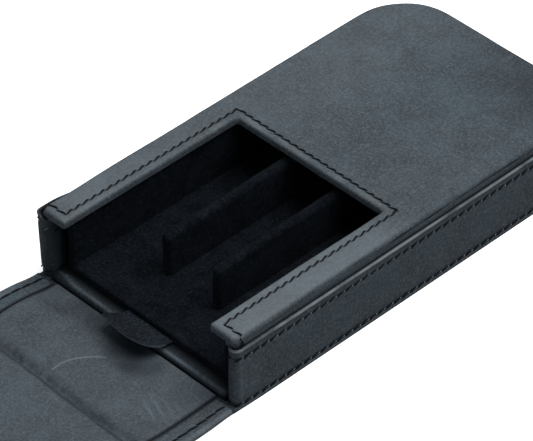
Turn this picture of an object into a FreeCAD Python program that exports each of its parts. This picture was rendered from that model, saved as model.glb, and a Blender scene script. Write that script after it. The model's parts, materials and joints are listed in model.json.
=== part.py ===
"""A leather case with a pull-out tray of three lanes, open at the front, with a fold-over flap.

Millimetres. The origin is the centre of the case's base, +Z is up, and the mouth, the lip, the tray's
pull tab and the flap point along -Y. The flap lies open and flat, and the tray is home.
"""
import FreeCAD, Part
import math
import os
from types import SimpleNamespace

import Sketcher
from FreeCAD import Placement, Rotation, Vector

# The driving sizes: alias, millimetres or degrees, and what each is.
DRIVING = [
    ("case_width", 96.0, "outside, over the side bands"),
    ("case_length", 177.5, "outside, lip to back"),
    ("case_height", 31.0, "table to top cover"),
    ("corner_radius", 22.5, "back corners in plan, outside"),
    ("band_thick", 1.1, "leather band round the sides"),
    ("wall_thick", 2.9, "side and back wall boards"),
    ("wall_lining", 1.0, "suede on the inside of the walls"),
    ("sole_thick", 1.1, "leather under the case and out to the flap"),
    ("sole_inset", 0.3, "edge of the sole inside the band's face"),
    ("floor_board", 2.3, "board over the sole"),
    ("floor_lining", 0.8, "suede on the floor board"),
    ("lip_leather", 0.9, "strip rolled over the front of the floor"),
    ("lip_radius", 2.2, "outside radius of the rolled lip"),
    ("lip_return", 9.0, "reach of the strip from the front edge"),
    ("post_return", 4.5, "band turned in behind each rounded post"),
    ("cover_leather", 0.9, "top cover leather"),
    ("top_board", 1.0, "board under the top cover"),
    ("seam_setback", 3.0, "side boards' ends before the round back corners"),
    ("hem_thick", 0.8, "cover turned under round the window"),
    ("hem_width", 8.0, "reach of the turned hem"),
    ("cover_roll", 3.4, "radius of the cover's rolled outer edge"),
    ("cover_inset", 0.6, "rolled edge inside the band's face"),
    ("board_inset", 2.8, "top board inside the band's face"),
    ("front_round", 1.6, "rounding of the cover's front ends"),
    ("edge_round", 1.0, "rounding of the window's rolled edge"),
    ("band_below_top", 4.6, "band's upper edge below the top"),
    ("skirt_depth", 4.4, "cover tucked down behind the band"),
    ("window_rim", 12.7, "window's side edge inside the band's face"),
    ("window_depth", 81.6, "cut-out from the front edge"),
    ("window_round", 1.2, "inner corners of the cut-out"),
    ("ceiling_lining", 0.6, "suede under the top board"),
    ("glue_line", 0.1, "room between curved layers"),
    ("tray_side_gap", 3.1, "tray side to the wall lining"),
    ("tray_setback", 5.0, "tray front behind the lip's face"),
    ("tray_back_gap", 1.5, "tray back to the wall lining"),
    ("tray_rest_gap", 0.3, "tray above the lip"),
    ("tray_corner_drop", 3.5, "tray's back corners tighter than the lined room's"),
    ("tray_underlay", 1.0, "suede under the tray"),
    ("tray_base", 1.4, "tray's base board"),
    ("tray_floor", 0.8, "suede on the tray's base"),
    ("tray_apron", 0.75, "floor suede turned down over the base's edge"),
    ("apron_round", 0.6, "rounding of that turn"),
    ("tray_wall", 1.2, "boards of the tray's walls"),
    ("suede_side", 0.9, "suede on each side of those boards"),
    ("suede_bevel", 0.8, "slope of the suede over a board's edge"),
    ("tray_headroom", 2.1, "top of the tray's walls below the window's hem"),
    ("divider_pitch", 24.2, "between the two dividers"),
    ("divider_width", 4.0, "over the suede"),
    ("divider_core", 1.6, "board inside a divider"),
    ("divider_drop", 1.0, "top of the dividers below the tray's walls"),
    ("divider_round", 0.8, "rounding of the dividers' front ends"),
    ("divider_setback", 19.5, "divider fronts behind the tray's front"),
    ("tab_width", 24.0, "pull tab"),
    ("tab_reach", 12.0, "pull tab from its fold"),
    ("tab_round", 5.5, "pull tab's outer corners"),
    ("tab_thick", 1.2, "pull tab"),
    ("tab_edge", 0.35, "slope of the tab's skived edges"),
    ("tab_gap", 0.15, "tab's root to the suede under the tray"),
    ("tab_angle", 18.0, "pull tab's rise at rest, degrees"),
    ("flap_overhang", 0.5, "flap's edge outside the band's face"),
    ("flap_rise", 2.2, "closed flap above the top at the crease"),
    ("flap_second", 108.0, "crease to the flap's end"),
    ("flap_corner", 14.0, "flap's end corners"),
    ("flap_hem", 8.5, "width of the flap's turned border"),
    ("flap_hem_thick", 1.1, "the turned border's own layer"),
    ("flap_round", 1.0, "rounding of the flap's outer edges"),
    ("hem_bevel", 0.6, "slope of the turned border's edge"),
    ("flap_board", 0.5, "stiffener between the leathers"),
    ("flap_board_setback", 3.0, "stiffener short of a fold"),
    ("flap_lining", 0.7, "inner leather panel"),
    ("fold_gap", 0.35, "closed flap to the case's front"),
    ("fold_room", 0.2, "between the two sides of a fold"),
    ("magnet_size", 9.0, "diameter of a closing magnet"),
    ("magnet_thick", 0.9, "closing magnet"),
    ("magnet_pitch", 44.0, "between the two closing magnets"),
    ("magnet_behind", 9.0, "magnets behind the window's back edge"),
    ("mitre_gap", 0.15, "each side of the crease, between the inner layers"),
]


class Size:
    """A length that knows its value and the spreadsheet expression that gives it."""

    def __init__(self, value, text):
        self.value = value
        self.text = text

    @staticmethod
    def of(other):
        return other if isinstance(other, Size) else Size(float(other), repr(float(other)))

    def __add__(self, other):
        other = Size.of(other)
        return Size(self.value + other.value, f"({self.text} + {other.text})")

    def __sub__(self, other):
        other = Size.of(other)
        return Size(self.value - other.value, f"({self.text} - {other.text})")

    def __mul__(self, other):
        other = Size.of(other)
        return Size(self.value * other.value, f"({self.text} * {other.text})")

    def __truediv__(self, other):
        other = Size.of(other)
        return Size(self.value / other.value, f"({self.text} / {other.text})")

    def __neg__(self):
        return Size(-self.value, f"(-1 * {self.text})")


doc = FreeCAD.newDocument("PenCase")
sheet = doc.addObject("Spreadsheet::Sheet", "Sizes")
given = {}
for row, (alias, value, note) in enumerate(DRIVING, start=1):
    sheet.set(f"A{row}", alias)
    sheet.set(f"B{row}", str(value))
    sheet.set(f"C{row}", note)
    sheet.setAlias(f"B{row}", alias)
    given[alias] = Size(value, f"Sizes.{alias}")
doc.recompute()


def bind(thing, prop, size):
    """Tie one property of a document object to the sheet."""
    thing.setExpression(prop, Size.of(size).text)


def new_body(node):
    body = doc.addObject("PartDesign::Body", node)
    body.Label = node
    return body


def new_sketch(body, plane, lift=0.0):
    """A sketch on one of the body's origin planes, lifted along that plane's normal."""
    sketch = body.newObject("Sketcher::SketchObject", f"{body.Name}_sketch")
    role = [f for f in body.Origin.OriginFeatures if f.Role == f"{plane}_Plane"][0]
    sketch.AttachmentSupport = [(role, "")]
    sketch.MapMode = "FlatFace"
    lift = Size.of(lift)
    sketch.AttachmentOffset = Placement(Vector(0, 0, lift.value), Rotation())
    bind(sketch, "AttachmentOffset.Base.z", lift)
    return sketch


def same(a, b):
    return abs(a.value - b.value) < 1e-9


def outline(sketch, corners, rounds=None):
    """A closed outline of straight edges, each corner a pair of Sizes, with arcs at the named corners.

    A level or upright edge takes one distance from the origin. A sloping edge's ends take the
    distances that their other edge doesn't give. A rounded corner joins two such square edges.
    """
    rounds = rounds or {}
    corners = [(Size.of(x), Size.of(y)) for x, y in corners]
    count = len(corners)
    heading = []
    for i in range(count):
        (x0, y0), (x1, y1) = corners[i], corners[(i + 1) % count]
        length = math.hypot(x1.value - x0.value, y1.value - y0.value)
        heading.append(((x1.value - x0.value) / length, (y1.value - y0.value) / length))

    def trimmed(i, way):
        """Where the edge that leaves or reaches corner i starts or ends, past any arc."""
        x, y = corners[i][0].value, corners[i][1].value
        if i not in rounds:
            return Vector(x, y, 0)
        radius = Size.of(rounds[i]).value
        dx, dy = heading[i] if way > 0 else heading[i - 1]
        return Vector(x + way * radius * dx, y + way * radius * dy, 0)

    edges = []
    for i in range(count):
        ends = trimmed(i, 1), trimmed((i + 1) % count, -1)
        edges.append(sketch.addGeometry(Part.LineSegment(*ends), False))
    for i in range(count):
        before, after = edges[i - 1], edges[i]
        if i not in rounds:
            sketch.addConstraint(Sketcher.Constraint("Coincident", before, 2, after, 1))
            continue
        radius = Size.of(rounds[i])
        start, end = trimmed(i, -1), trimmed(i, 1)
        turn = heading[i - 1][0] * heading[i][1] - heading[i - 1][1] * heading[i][0]
        side = 1 if turn > 0 else -1
        centre = start + Vector(-heading[i - 1][1], heading[i - 1][0], 0) * (side * radius.value)
        a0 = math.atan2(start.y - centre.y, start.x - centre.x)
        a1 = math.atan2(end.y - centre.y, end.x - centre.x)
        if side < 0:
            a0, a1 = a1, a0
        circle = Part.Circle(centre, Vector(0, 0, 1), radius.value)
        arc = sketch.addGeometry(Part.ArcOfCircle(circle, a0, a1), False)
        first, last = (1, 2) if side > 0 else (2, 1)
        sketch.addConstraint(Sketcher.Constraint("Tangent", before, 2, arc, first))
        sketch.addConstraint(Sketcher.Constraint("Tangent", arc, last, after, 1))
        index = sketch.addConstraint(Sketcher.Constraint("Radius", arc, radius.value))
        bind(sketch, f"Constraints[{index}]", radius)

    def place(kind, edge, end, size):
        index = sketch.addConstraint(Sketcher.Constraint(kind, -1, 1, edge, end, size.value))
        bind(sketch, f"Constraints[{index}]", size)

    level = [same(corners[i][1], corners[(i + 1) % count][1]) for i in range(count)]
    upright = [same(corners[i][0], corners[(i + 1) % count][0]) for i in range(count)]
    for i, edge in enumerate(edges):
        if level[i]:
            sketch.addConstraint(Sketcher.Constraint("Horizontal", edge))
            place("DistanceY", edge, 1, corners[i][1])
        elif upright[i]:
            sketch.addConstraint(Sketcher.Constraint("Vertical", edge))
            place("DistanceX", edge, 1, corners[i][0])
    for i, edge in enumerate(edges):
        if i in rounds:
            continue
        if not upright[i] and not upright[i - 1]:
            place("DistanceX", edge, 1, corners[i][0])
        if not level[i] and not level[i - 1]:
            place("DistanceY", edge, 1, corners[i][1])


def box_outline(sketch, x0, x1, y0, y1):
    outline(sketch, [(x0, y0), (x1, y0), (x1, y1), (x0, y1)])


def circle_outline(sketch, x, y, radius):
    circle = Part.Circle(Vector(x.value, y.value, 0), Vector(0, 0, 1), radius.value)
    edge = sketch.addGeometry(circle, False)
    for kind, size in (("DistanceX", x), ("DistanceY", y)):
        index = sketch.addConstraint(Sketcher.Constraint(kind, -1, 1, edge, 3, size.value))
        bind(sketch, f"Constraints[{index}]", size)
    index = sketch.addConstraint(Sketcher.Constraint("Radius", edge, radius.value))
    bind(sketch, f"Constraints[{index}]", radius)


def case_outline(sketch, half, front, back, radius):
    """The case's plan: square at the front, with two round back corners."""
    corners = [(-half, front), (half, front), (half, back), (-half, back)]
    outline(sketch, corners, {2: radius, 3: radius})


def bend_outline(sketch, half, front, back, radius, thick):
    """A strip that runs back along one side, round both back corners and forward again."""
    inner = half - thick
    corners = [
        (half, front), (half, back), (-half, back), (-half, front),
        (-inner, front), (-inner, back - thick), (inner, back - thick), (inner, front),
    ]
    outline(sketch, corners, {1: radius, 2: radius, 5: radius - thick, 6: radius - thick})


def feature(body, kind, sketch, length, reverse=False):
    """A pad or a pocket of the sketch."""
    made = body.newObject(f"PartDesign::{kind}", f"{body.Name}_{kind.lower()}")
    made.Profile = sketch
    made.Reversed = reverse
    bind(made, "Length", length)
    sketch.Visibility = False
    doc.recompute()
    return made


def pad(body, sketch, length, reverse=False):
    return feature(body, "Pad", sketch, length, reverse)


def pocket(body, sketch, length, reverse=False):
    """A cut along the sketch's normal, or against it, that must take something away."""
    before = body.Shape.Volume
    made = feature(body, "Pocket", sketch, length, reverse)
    if not body.Shape.Volume < before - 1e-6:
        raise RuntimeError(f"{made.Name} cuts nothing")
    return made


def soften(body, radius, wanted, kind="Fillet"):
    """Round or bevel the edges of the body so far that the test picks."""
    base = body.Tip
    names = [f"Edge{n}" for n, edge in enumerate(base.Shape.Edges, start=1) if wanted(edge)]
    if not names:
        raise RuntimeError(f"{body.Name}: no edge to round")
    made = body.newObject(f"PartDesign::{kind}", f"{body.Name}_{kind.lower()}")
    made.Base = (base, names)
    bind(made, "Radius" if kind == "Fillet" else "Size", radius)
    doc.recompute()
    return made


def flat_at(level):
    """Edges that lie at one height."""
    return lambda edge: all(abs(v.Z - level.value) < 1e-6 for v in edge.Vertexes)


def standing_at(x, y):
    """Upright edges at one place in plan."""
    def test(edge):
        ends = edge.Vertexes
        return len(ends) == 2 and abs(ends[0].Z - ends[1].Z) > 0.2 and all(
            abs(abs(v.X) - x.value) < 1e-6 and abs(v.Y - y.value) < 1e-6 for v in ends
        )
    return test


def across(edge, y):
    """Whether an edge lies in one plane across the case."""
    return all(abs(v.Y - y.value) < 1e-6 for v in edge.Vertexes)


def along(edge, x):
    """Whether an edge lies in one of the two upright planes at that distance from the middle."""
    ends = edge.Vertexes
    return abs(ends[0].X - ends[-1].X) < 1e-6 and all(abs(abs(v.X) - x.value) < 1e-6 for v in ends)


# Places worked out from the driving sizes. Levels are heights above the table.
S = SimpleNamespace(**given)
half = S.case_width / 2
front = -(S.case_length / 2)
back = S.case_length / 2


def inside(depth):
    """Half width, back and corner radius of the case's plan, that far inside the band's face."""
    return half - depth, back - depth, S.corner_radius - depth


wall_face = S.band_thick + S.glue_line
room_face = S.band_thick + S.wall_thick
lining_face = room_face + S.wall_lining
skirt_face = wall_face + S.cover_leather
corner_seam = back - S.corner_radius - S.seam_setback
post_width = S.band_thick * 2 + S.wall_thick
post_round = (post_width - S.glue_line) / 2
post_inner = half - post_width
post_end = front + post_width / 2 + S.post_return

floor_level = S.sole_thick + S.floor_board
lip_level = floor_level + S.lip_leather
tray_level = lip_level + S.tray_rest_gap
base_level = tray_level + S.tray_underlay
tray_board_level = base_level + S.tray_base
lane_level = tray_board_level + S.tray_floor
top_level = S.case_height
cover_level = top_level - S.cover_leather
ceiling_level = cover_level - S.top_board
hem_level = ceiling_level - S.hem_thick
band_level = top_level - S.band_below_top
roll_level = band_level + S.glue_line
skirt_level = band_level - S.skirt_depth

window_half = half - S.window_rim
window_back = front + S.window_depth

tray_half = half - lining_face - S.tray_side_gap
tray_front = front + S.tray_setback
tray_back = back - lining_face - S.tray_back_gap
tray_corner = inside(lining_face)[2] - S.tray_corner_drop
tray_seam = tray_back - tray_corner - S.seam_setback
tray_skin = S.suede_side * 2 + S.tray_wall
tray_top = hem_level - S.tray_headroom
tray_board_top = tray_top - S.suede_side
divider_top = tray_top - S.divider_drop

fold_depth = S.sole_thick / 2
fold_start = fold_depth + S.fold_room
flap_level = S.sole_thick + S.flap_board + S.flap_lining
lip_fold = front - (flap_level - fold_depth) - S.fold_gap
flap_first = top_level + S.flap_rise + flap_level - S.sole_thick
crease = lip_fold - flap_first
flap_end = crease - S.flap_second
flap_half = half + S.flap_overhang
flap_border = S.sole_thick + S.flap_hem_thick
hem_inner = flap_half - S.flap_hem
tab_fold_y = tray_front - S.glue_line - S.tab_gap - S.tab_thick / 2
tab_fold_z = tray_level + S.tray_underlay / 2
magnet_y = window_back + S.magnet_behind
catch_y = crease - (magnet_y - lip_fold)


def layer(body, low, high, plan, near):
    """A flat layer with two round back corners: the plan gives half width, back and radius."""
    wide, far, bend = plan
    sketch = new_sketch(body, "XY", low)
    case_outline(sketch, wide, near, far, bend)
    return pad(body, sketch, high - low)


def bend(body, low, high, plan, near, thick):
    """A strip on edge that runs round both back corners."""
    wide, far, radius = plan
    sketch = new_sketch(body, "XY", low)
    bend_outline(sketch, wide, near, far, radius, thick)
    return pad(body, sketch, high - low)


def block(body, low, high, x0, x1, y0, y1):
    """A plain board."""
    sketch = new_sketch(body, "XY", low)
    box_outline(sketch, x0, x1, y0, y1)
    return pad(body, sketch, high - low)


def hollow(body, low, high, draw):
    """Room cut from one level up to another, in the plan that draw(sketch) makes."""
    sketch = new_sketch(body, "XY", low)
    draw(sketch)
    return pocket(body, sketch, high - low, True)


def sole():
    """Leather under the case, from the back to the lip fold."""
    body = new_body("sole")
    layer(body, Size.of(0), S.sole_thick, inside(S.sole_inset), lip_fold + fold_start)
    return body


def side_band():
    """The band round both sides and the back, turned in round the two front posts."""
    body = new_body("side_band")
    sketch = new_sketch(body, "XY", S.sole_thick)
    wall, far, corner = inside(S.band_thick)
    turned = post_inner + S.band_thick
    near = front + S.band_thick
    corners = [
        (post_inner, post_end), (post_inner, front), (half, front), (half, back),
        (-half, back), (-half, front), (-post_inner, front), (-post_inner, post_end),
        (-turned, post_end), (-turned, near), (-wall, near), (-wall, far),
        (wall, far), (wall, near), (turned, near), (turned, post_end),
    ]
    rounds = dict.fromkeys((1, 2, 5, 6), post_round)
    rounds.update(dict.fromkeys((9, 10, 13, 14), post_round - S.band_thick))
    rounds.update({3: S.corner_radius, 4: S.corner_radius, 11: corner, 12: corner})
    outline(sketch, corners, rounds)
    pad(body, sketch, band_level - S.sole_thick)
    return body


def post_outline(sketch, face, seam, side):
    """A side wall's plan with its round front end, its outer side that far inside the band's face."""
    inner = inside(room_face)[0]
    outer = inside(face)[0]
    near = front + face
    nose = (outer - inner - S.glue_line) / 2
    corners = [(inner * side, near), (outer * side, near), (outer * side, seam), (inner * side, seam)]
    outline(sketch, corners, {0: nose, 1: nose})


def side_wall(node, side):
    """A side wall's board, thinner above, where the cover's skirt lies over it."""
    body = new_body(node)
    thinner = skirt_face + S.glue_line
    for face, low, high in ((wall_face, S.sole_thick, skirt_level), (thinner, skirt_level, ceiling_level)):
        sketch = new_sketch(body, "XY", low)
        post_outline(sketch, face, corner_seam, side)
        pad(body, sketch, high - low)
    return body


def back_wall():
    """The board bent round both back corners, thinner above, as the side walls are."""
    body = new_body("wall_back")
    thinner = skirt_face + S.glue_line
    bend(body, S.sole_thick, skirt_level, inside(wall_face), corner_seam, room_face - wall_face)
    bend(body, skirt_level, ceiling_level, inside(thinner), corner_seam, room_face - thinner)
    return body


def floor():
    """The board between the walls, narrower between the posts, with a round front edge."""
    body = new_body("floor_board")
    wide, far, corner = inside(room_face + S.glue_line)
    narrow = post_inner - S.glue_line
    near = front + S.lip_leather + S.glue_line
    step = post_end + S.glue_line
    sketch = new_sketch(body, "XY", S.sole_thick)
    corners = [
        (-narrow, near), (narrow, near), (narrow, step), (wide, step),
        (wide, far), (-wide, far), (-wide, step), (-narrow, step),
    ]
    outline(sketch, corners, {4: corner, 5: corner})
    pad(body, sketch, S.floor_board)
    soften(body, S.lip_radius - S.lip_leather, lambda e: across(e, near) and flat_at(floor_level)(e))
    return body


def lip():
    """The strip rolled over the floor's front edge and turned back on top of it."""
    body = new_body("lip_strip")
    reach = post_inner - S.glue_line
    turned = front + S.lip_leather
    rear = front + S.lip_return
    sketch = new_sketch(body, "YZ", -reach)
    corners = [
        (front, S.sole_thick), (turned, S.sole_thick), (turned, floor_level),
        (rear, floor_level), (rear, lip_level), (front, lip_level),
    ]
    outline(sketch, corners, {2: S.lip_radius - S.lip_leather, 5: S.lip_radius})
    pad(body, sketch, reach * 2)
    return body


def floor_suede():
    """Suede on the floor, from behind the lip to the linings of the walls."""
    body = new_body("floor_lining")
    near = front + S.lip_return + S.glue_line
    layer(body, floor_level, floor_level + S.floor_lining, inside(lining_face + S.glue_line), near)
    return body


def wall_suede(node, side):
    """Suede on the inside of a side wall."""
    body = new_body(node)
    outer = inside(room_face + S.glue_line)[0] * side
    inner = inside(lining_face)[0] * side
    block(body, floor_level, hem_level, inner, outer, post_end + S.glue_line * 2, corner_seam)
    return body


def back_suede():
    """Suede on the inside of the back wall, round both corners."""
    body = new_body("lining_back")
    plan = inside(room_face + S.glue_line)
    bend(body, floor_level, hem_level, plan, corner_seam, S.wall_lining - S.glue_line)
    return body


def board_outline(sketch, room):
    """The top board's plan, with the cut-out for the window, grown all round by some room."""
    wide, far, corner = inside(S.board_inset - room)
    near = front + S.cover_leather - room
    cut = window_half + S.cover_leather - room
    end = window_back + S.cover_leather - room
    turn = S.window_round + S.cover_leather - room
    corners = [
        (-cut, near), (-cut, end), (cut, end), (cut, near),
        (wide, near), (wide, far), (-wide, far), (-wide, near),
    ]
    outline(sketch, corners, {1: turn, 2: turn, 5: corner, 6: corner})


def disc_outline(sketch, side, y, radius):
    """A circle at the place of one of the two magnets or catch plates."""
    circle_outline(sketch, S.magnet_pitch / 2 * side, y, radius)


def disc(node, side, y, low, thick):
    """One closing magnet, or the steel plate that it holds."""
    body = new_body(node)
    sketch = new_sketch(body, "XY", low)
    disc_outline(sketch, side, y, S.magnet_size / 2)
    pad(body, sketch, thick)
    return body


def disc_holes(body, y, low, high):
    """Holes for both discs, with a little room round each."""
    for side in (-1, 1):
        hollow(body, low, high, lambda made: disc_outline(made, side, y, S.magnet_size / 2 + S.glue_line))


def board_over_top():
    """The board under the top cover, with holes for two magnets."""
    body = new_body("top_board")
    sketch = new_sketch(body, "XY", ceiling_level)
    board_outline(sketch, Size.of(0))
    pad(body, sketch, S.top_board)
    disc_holes(body, magnet_y, ceiling_level, cover_level)
    return body


def ring_outline(sketch, face):
    """A strip from post to post, round the back, between the room and that far inside the band's
    face, with two round front ends."""
    inner, inner_far, inner_corner = inside(room_face)
    outer, far, corner = inside(face)
    near = front + face
    nose = (outer - inner - S.glue_line) / 2
    corners = [
        (inner, near), (outer, near), (outer, far), (-outer, far),
        (-outer, near), (-inner, near), (-inner, inner_far), (inner, inner_far),
    ]
    rounds = dict.fromkeys((0, 1, 4, 5), nose)
    rounds.update({2: corner, 3: corner, 6: inner_corner, 7: inner_corner})
    outline(sketch, corners, rounds)


def window_edge(edge):
    """Whether an edge is the window's upper one, or its run down the front of a rim."""
    reach, end = window_half.value + 1e-6, window_back.value + 1e-6
    beside = any(abs(v.X) > reach or v.Y > end for v in edge.Vertexes)
    upper = flat_at(top_level)(edge) and not beside
    return upper or (along(edge, window_half) and not flat_at(hem_level)(edge))


def cover():
    """The leather over the top: rolled at the sides and back, tucked down behind the band as a
    skirt, wrapped over the front posts and turned under round the window."""
    body = new_body("top_cover")
    layer(body, roll_level, top_level, inside(S.cover_inset), front)
    soften(body, S.cover_roll, lambda e: flat_at(top_level)(e) and not across(e, front))
    soften(body, S.front_round, lambda e: across(e, front) and not flat_at(roll_level)(e))

    sketch = new_sketch(body, "XY", skirt_level)
    ring_outline(sketch, wall_face)
    pad(body, sketch, roll_level - skirt_level)

    clear = front * 2
    room, room_far, room_corner = inside(room_face)
    wide_room = [
        (-post_inner, clear), (post_inner, clear), (post_inner, post_end), (room, post_end),
        (room, room_far), (-room, room_far), (-room, post_end), (-post_inner, post_end),
    ]
    turns = {4: room_corner, 5: room_corner}
    hollow(body, roll_level, hem_level, lambda made: outline(made, wide_room, turns))

    cut = [
        (-window_half, clear), (window_half, clear),
        (window_half, window_back), (-window_half, window_back),
    ]
    turns = {2: S.window_round, 3: S.window_round}
    hollow(body, hem_level, top_level, lambda made: outline(made, cut, turns))
    soften(body, S.edge_round, window_edge)

    hollow(body, skirt_level, ceiling_level, lambda made: ring_outline(made, skirt_face))
    hem_end = window_back + S.hem_width
    lining = (room, hem_end, room_far, room_corner)
    hollow(body, hem_level, ceiling_level, lambda made: case_outline(made, *lining))
    hollow(body, ceiling_level, cover_level, lambda made: board_outline(made, S.glue_line))
    return body



def over_top():
    """Suede under the top board, behind the hem."""
    body = new_body("ceiling_lining")
    near = window_back + S.hem_width + S.glue_line
    layer(body, ceiling_level - S.ceiling_lining, ceiling_level, inside(room_face + S.glue_line), near)
    return body


def tray_plan(depth):
    """Half width, back and corner radius of the tray's plan, that far inside its outer face."""
    return tray_half - depth, tray_back - depth, tray_corner - depth


def tray_bottom():
    """Suede under the tray's base board."""
    body = new_body("tray_underlay")
    layer(body, tray_level, base_level, tray_plan(S.glue_line), tray_front - S.glue_line)
    return body


def tray_board():
    """The tray's base board."""
    body = new_body("tray_base")
    layer(body, base_level, tray_board_level, tray_plan(S.suede_side), tray_front + S.tray_apron)
    return body


def tray_suede_floor():
    """Suede on the base board, turned down over its front edge."""
    body = new_body("tray_floor")
    wide = tray_plan(S.suede_side + S.glue_line)[0]
    narrow, far, corner = tray_plan(S.suede_side + S.tray_wall + S.glue_line)
    step = tray_front + S.suede_side - S.glue_line
    sketch = new_sketch(body, "XY", tray_board_level)
    corners = [
        (-wide, tray_front), (wide, tray_front), (wide, step), (narrow, step),
        (narrow, far), (-narrow, far), (-narrow, step), (-wide, step),
    ]
    outline(sketch, corners, {4: corner, 5: corner})
    pad(body, sketch, S.tray_floor)
    low = base_level + S.glue_line
    block(body, low, tray_board_level, -wide, wide, tray_front, tray_front + S.tray_apron)
    soften(body, S.apron_round, lambda e: across(e, tray_front) and flat_at(lane_level)(e))
    return body


def tray_side_board(node, side):
    """A side wall's board, standing on the base board."""
    body = new_body(node)
    outer = tray_plan(S.suede_side)[0]
    inner = outer - S.tray_wall
    near = tray_front + S.suede_side
    block(body, tray_board_level, tray_board_top, inner * side, outer * side, near, tray_seam)
    return body


def tray_back_board():
    """The tray's back wall board, bent round both corners."""
    body = new_body("tray_wall_back")
    bend(body, tray_board_level, tray_board_top, tray_plan(S.suede_side), tray_seam, S.tray_wall)
    return body


def suede_top(seam):
    """The upper edges of a suede cover, apart from those where it meets the next one."""
    return lambda e: flat_at(tray_top)(e) and not across(e, seam)


def tray_side_suede(node, side):
    """Suede folded over a side wall's board and closed round its front end."""
    body = new_body(node)
    outer = tray_half
    inner = tray_half - tray_skin
    block(body, lane_level, tray_top, inner * side, outer * side, tray_front, tray_seam)
    front_corner = [standing_at(x, tray_front) for x in (inner, outer)]
    wanted = [suede_top(tray_seam), *front_corner]
    soften(body, S.suede_bevel, lambda e: any(test(e) for test in wanted), "Chamfer")
    leg = S.suede_side - S.glue_line
    leg_front = tray_front + S.suede_side
    block(body, base_level, lane_level, (outer - leg) * side, outer * side, leg_front, tray_seam)
    room = ((inner + leg) * side, (outer - leg) * side, tray_front + leg, tray_seam)
    top = tray_board_top + S.glue_line
    hollow(body, lane_level, top, lambda made: box_outline(made, *room))
    return body


def tray_back_suede():
    """Suede folded over the back wall's board."""
    body = new_body("tray_suede_back")
    bend(body, lane_level, tray_top, tray_plan(Size.of(0)), tray_seam, tray_skin)
    soften(body, S.suede_bevel, suede_top(tray_seam), "Chamfer")
    leg = S.suede_side - S.glue_line
    bend(body, base_level, lane_level, tray_plan(Size.of(0)), tray_seam, leg)
    top = tray_board_top + S.glue_line
    wide, far, corner = tray_plan(leg)
    room = (wide, tray_seam, far, corner, tray_skin - leg * 2)
    hollow(body, lane_level, top, lambda made: bend_outline(made, *room))
    return body


def divider_board(node, side):
    """The stiff core of a divider, standing on the tray's floor."""
    body = new_body(node)
    middle = S.divider_pitch / 2 * side
    reach = S.divider_core / 2
    cap = (S.divider_width - S.divider_core) / 2
    near = tray_front + S.divider_setback + cap
    far = tray_back - tray_skin
    block(body, lane_level, divider_top - cap, middle - reach, middle + reach, near, far)
    return body


def divider_suede(node, side):
    """Suede folded over a divider's core, with a round top and a soft front end."""
    body = new_body(node)
    middle = S.divider_pitch / 2 * side
    reach = S.divider_width / 2
    near = tray_front + S.divider_setback
    far = tray_back - tray_skin
    block(body, lane_level, divider_top, middle - reach, middle + reach, near, far)
    long_edge = lambda e: not across(e, near) and not across(e, far)
    soften(body, reach - S.glue_line, lambda e: flat_at(divider_top)(e) and long_edge(e))
    soften(body, S.divider_round, lambda e: across(e, near) and not flat_at(lane_level)(e))
    leg = (S.divider_width - S.divider_core) / 2 - S.glue_line
    inner = reach - leg
    room = (middle - inner, middle + inner, near + leg, far)
    hollow(body, lane_level, divider_top - leg, lambda made: box_outline(made, *room))
    return body


def bead(body, y, z, radius, reach):
    """The round root of a fold: a rod across the body, centred on the fold's axis."""
    sketch = new_sketch(body, "YZ", -reach)
    circle_outline(sketch, y, z, radius)
    return pad(body, sketch, reach * 2)


def tab():
    """The pull tab: a rounded tongue that leaves the tray under its front edge, and rises."""
    body = new_body("pull_tab")
    reach = S.tab_width / 2
    face = S.tab_thick / 2
    root = Size.of(0)
    sketch = new_sketch(body, "XY", -face)
    corners = [(-reach, -S.tab_reach), (reach, -S.tab_reach), (reach, root), (-reach, root)]
    outline(sketch, corners, {0: S.tab_round, 1: S.tab_round})
    pad(body, sketch, S.tab_thick)
    skived = [flat_at(face), flat_at(-face)]
    soften(body, S.tab_edge, lambda e: not across(e, root) and any(test(e) for test in skived), "Chamfer")
    bead(body, root, root, face, reach - S.tab_edge)
    body.Placement = Placement(
        Vector(0, tab_fold_y.value, tab_fold_z.value), Rotation(Vector(-1, 0, 0), S.tab_angle.value)
    )
    bind(body, "Placement.Base.y", tab_fold_y)
    bind(body, "Placement.Base.z", tab_fold_z)
    bind(body, "Placement.Rotation.Angle", S.tab_angle)
    return body


def mitre(body, way):
    """The slope that lets the flap's inner layers close on each other at the crease."""
    start = crease + S.mitre_gap * way
    end = start + flap_level * way
    low = fold_depth
    sketch = new_sketch(body, "YZ", -flap_half)
    outline(sketch, [(start, low), (end, low + flap_level), (start, low + flap_level)])
    return pocket(body, sketch, flap_half * 2, True)


def fold_root(body, y, start):
    """The leather's round root at a fold, and the thin neck from there to the panel."""
    reach = flap_half - S.flap_round
    block(body, Size.of(0), S.sole_thick, -reach, reach, start, y)
    return bead(body, y, fold_depth, fold_depth, reach)


def round_edges(body, open_ends):
    """Round the flap's outer edges and bevel the border's, apart from those at its folds."""
    def outer(level):
        return lambda e: flat_at(level)(e) and not any(across(e, end) for end in open_ends)

    soften(body, S.flap_round, outer(Size.of(0)))
    soften(body, S.hem_bevel, outer(flap_border), "Chamfer")


def flap_front_leather():
    """The flap's first panel: leather turned in along both sides, from the lip fold to the crease."""
    body = new_body("flap_front_cover")
    near, far = crease + fold_start, lip_fold - fold_start
    block(body, Size.of(0), flap_border, -flap_half, flap_half, near, far)
    round_edges(body, [near, far])
    between = (-hem_inner, hem_inner, crease, lip_fold)
    hollow(body, S.sole_thick, flap_border, lambda made: box_outline(made, *between))
    mitre(body, 1)
    fold_root(body, lip_fold, far)
    return body


def flap_front_stiffener():
    """The thin board inside the flap's first panel."""
    body = new_body("flap_front_board")
    reach = hem_inner - S.glue_line
    near, far = crease + S.flap_board_setback, lip_fold - S.flap_board_setback
    block(body, S.sole_thick, S.sole_thick + S.flap_board, -reach, reach, near, far)
    return body


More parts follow.
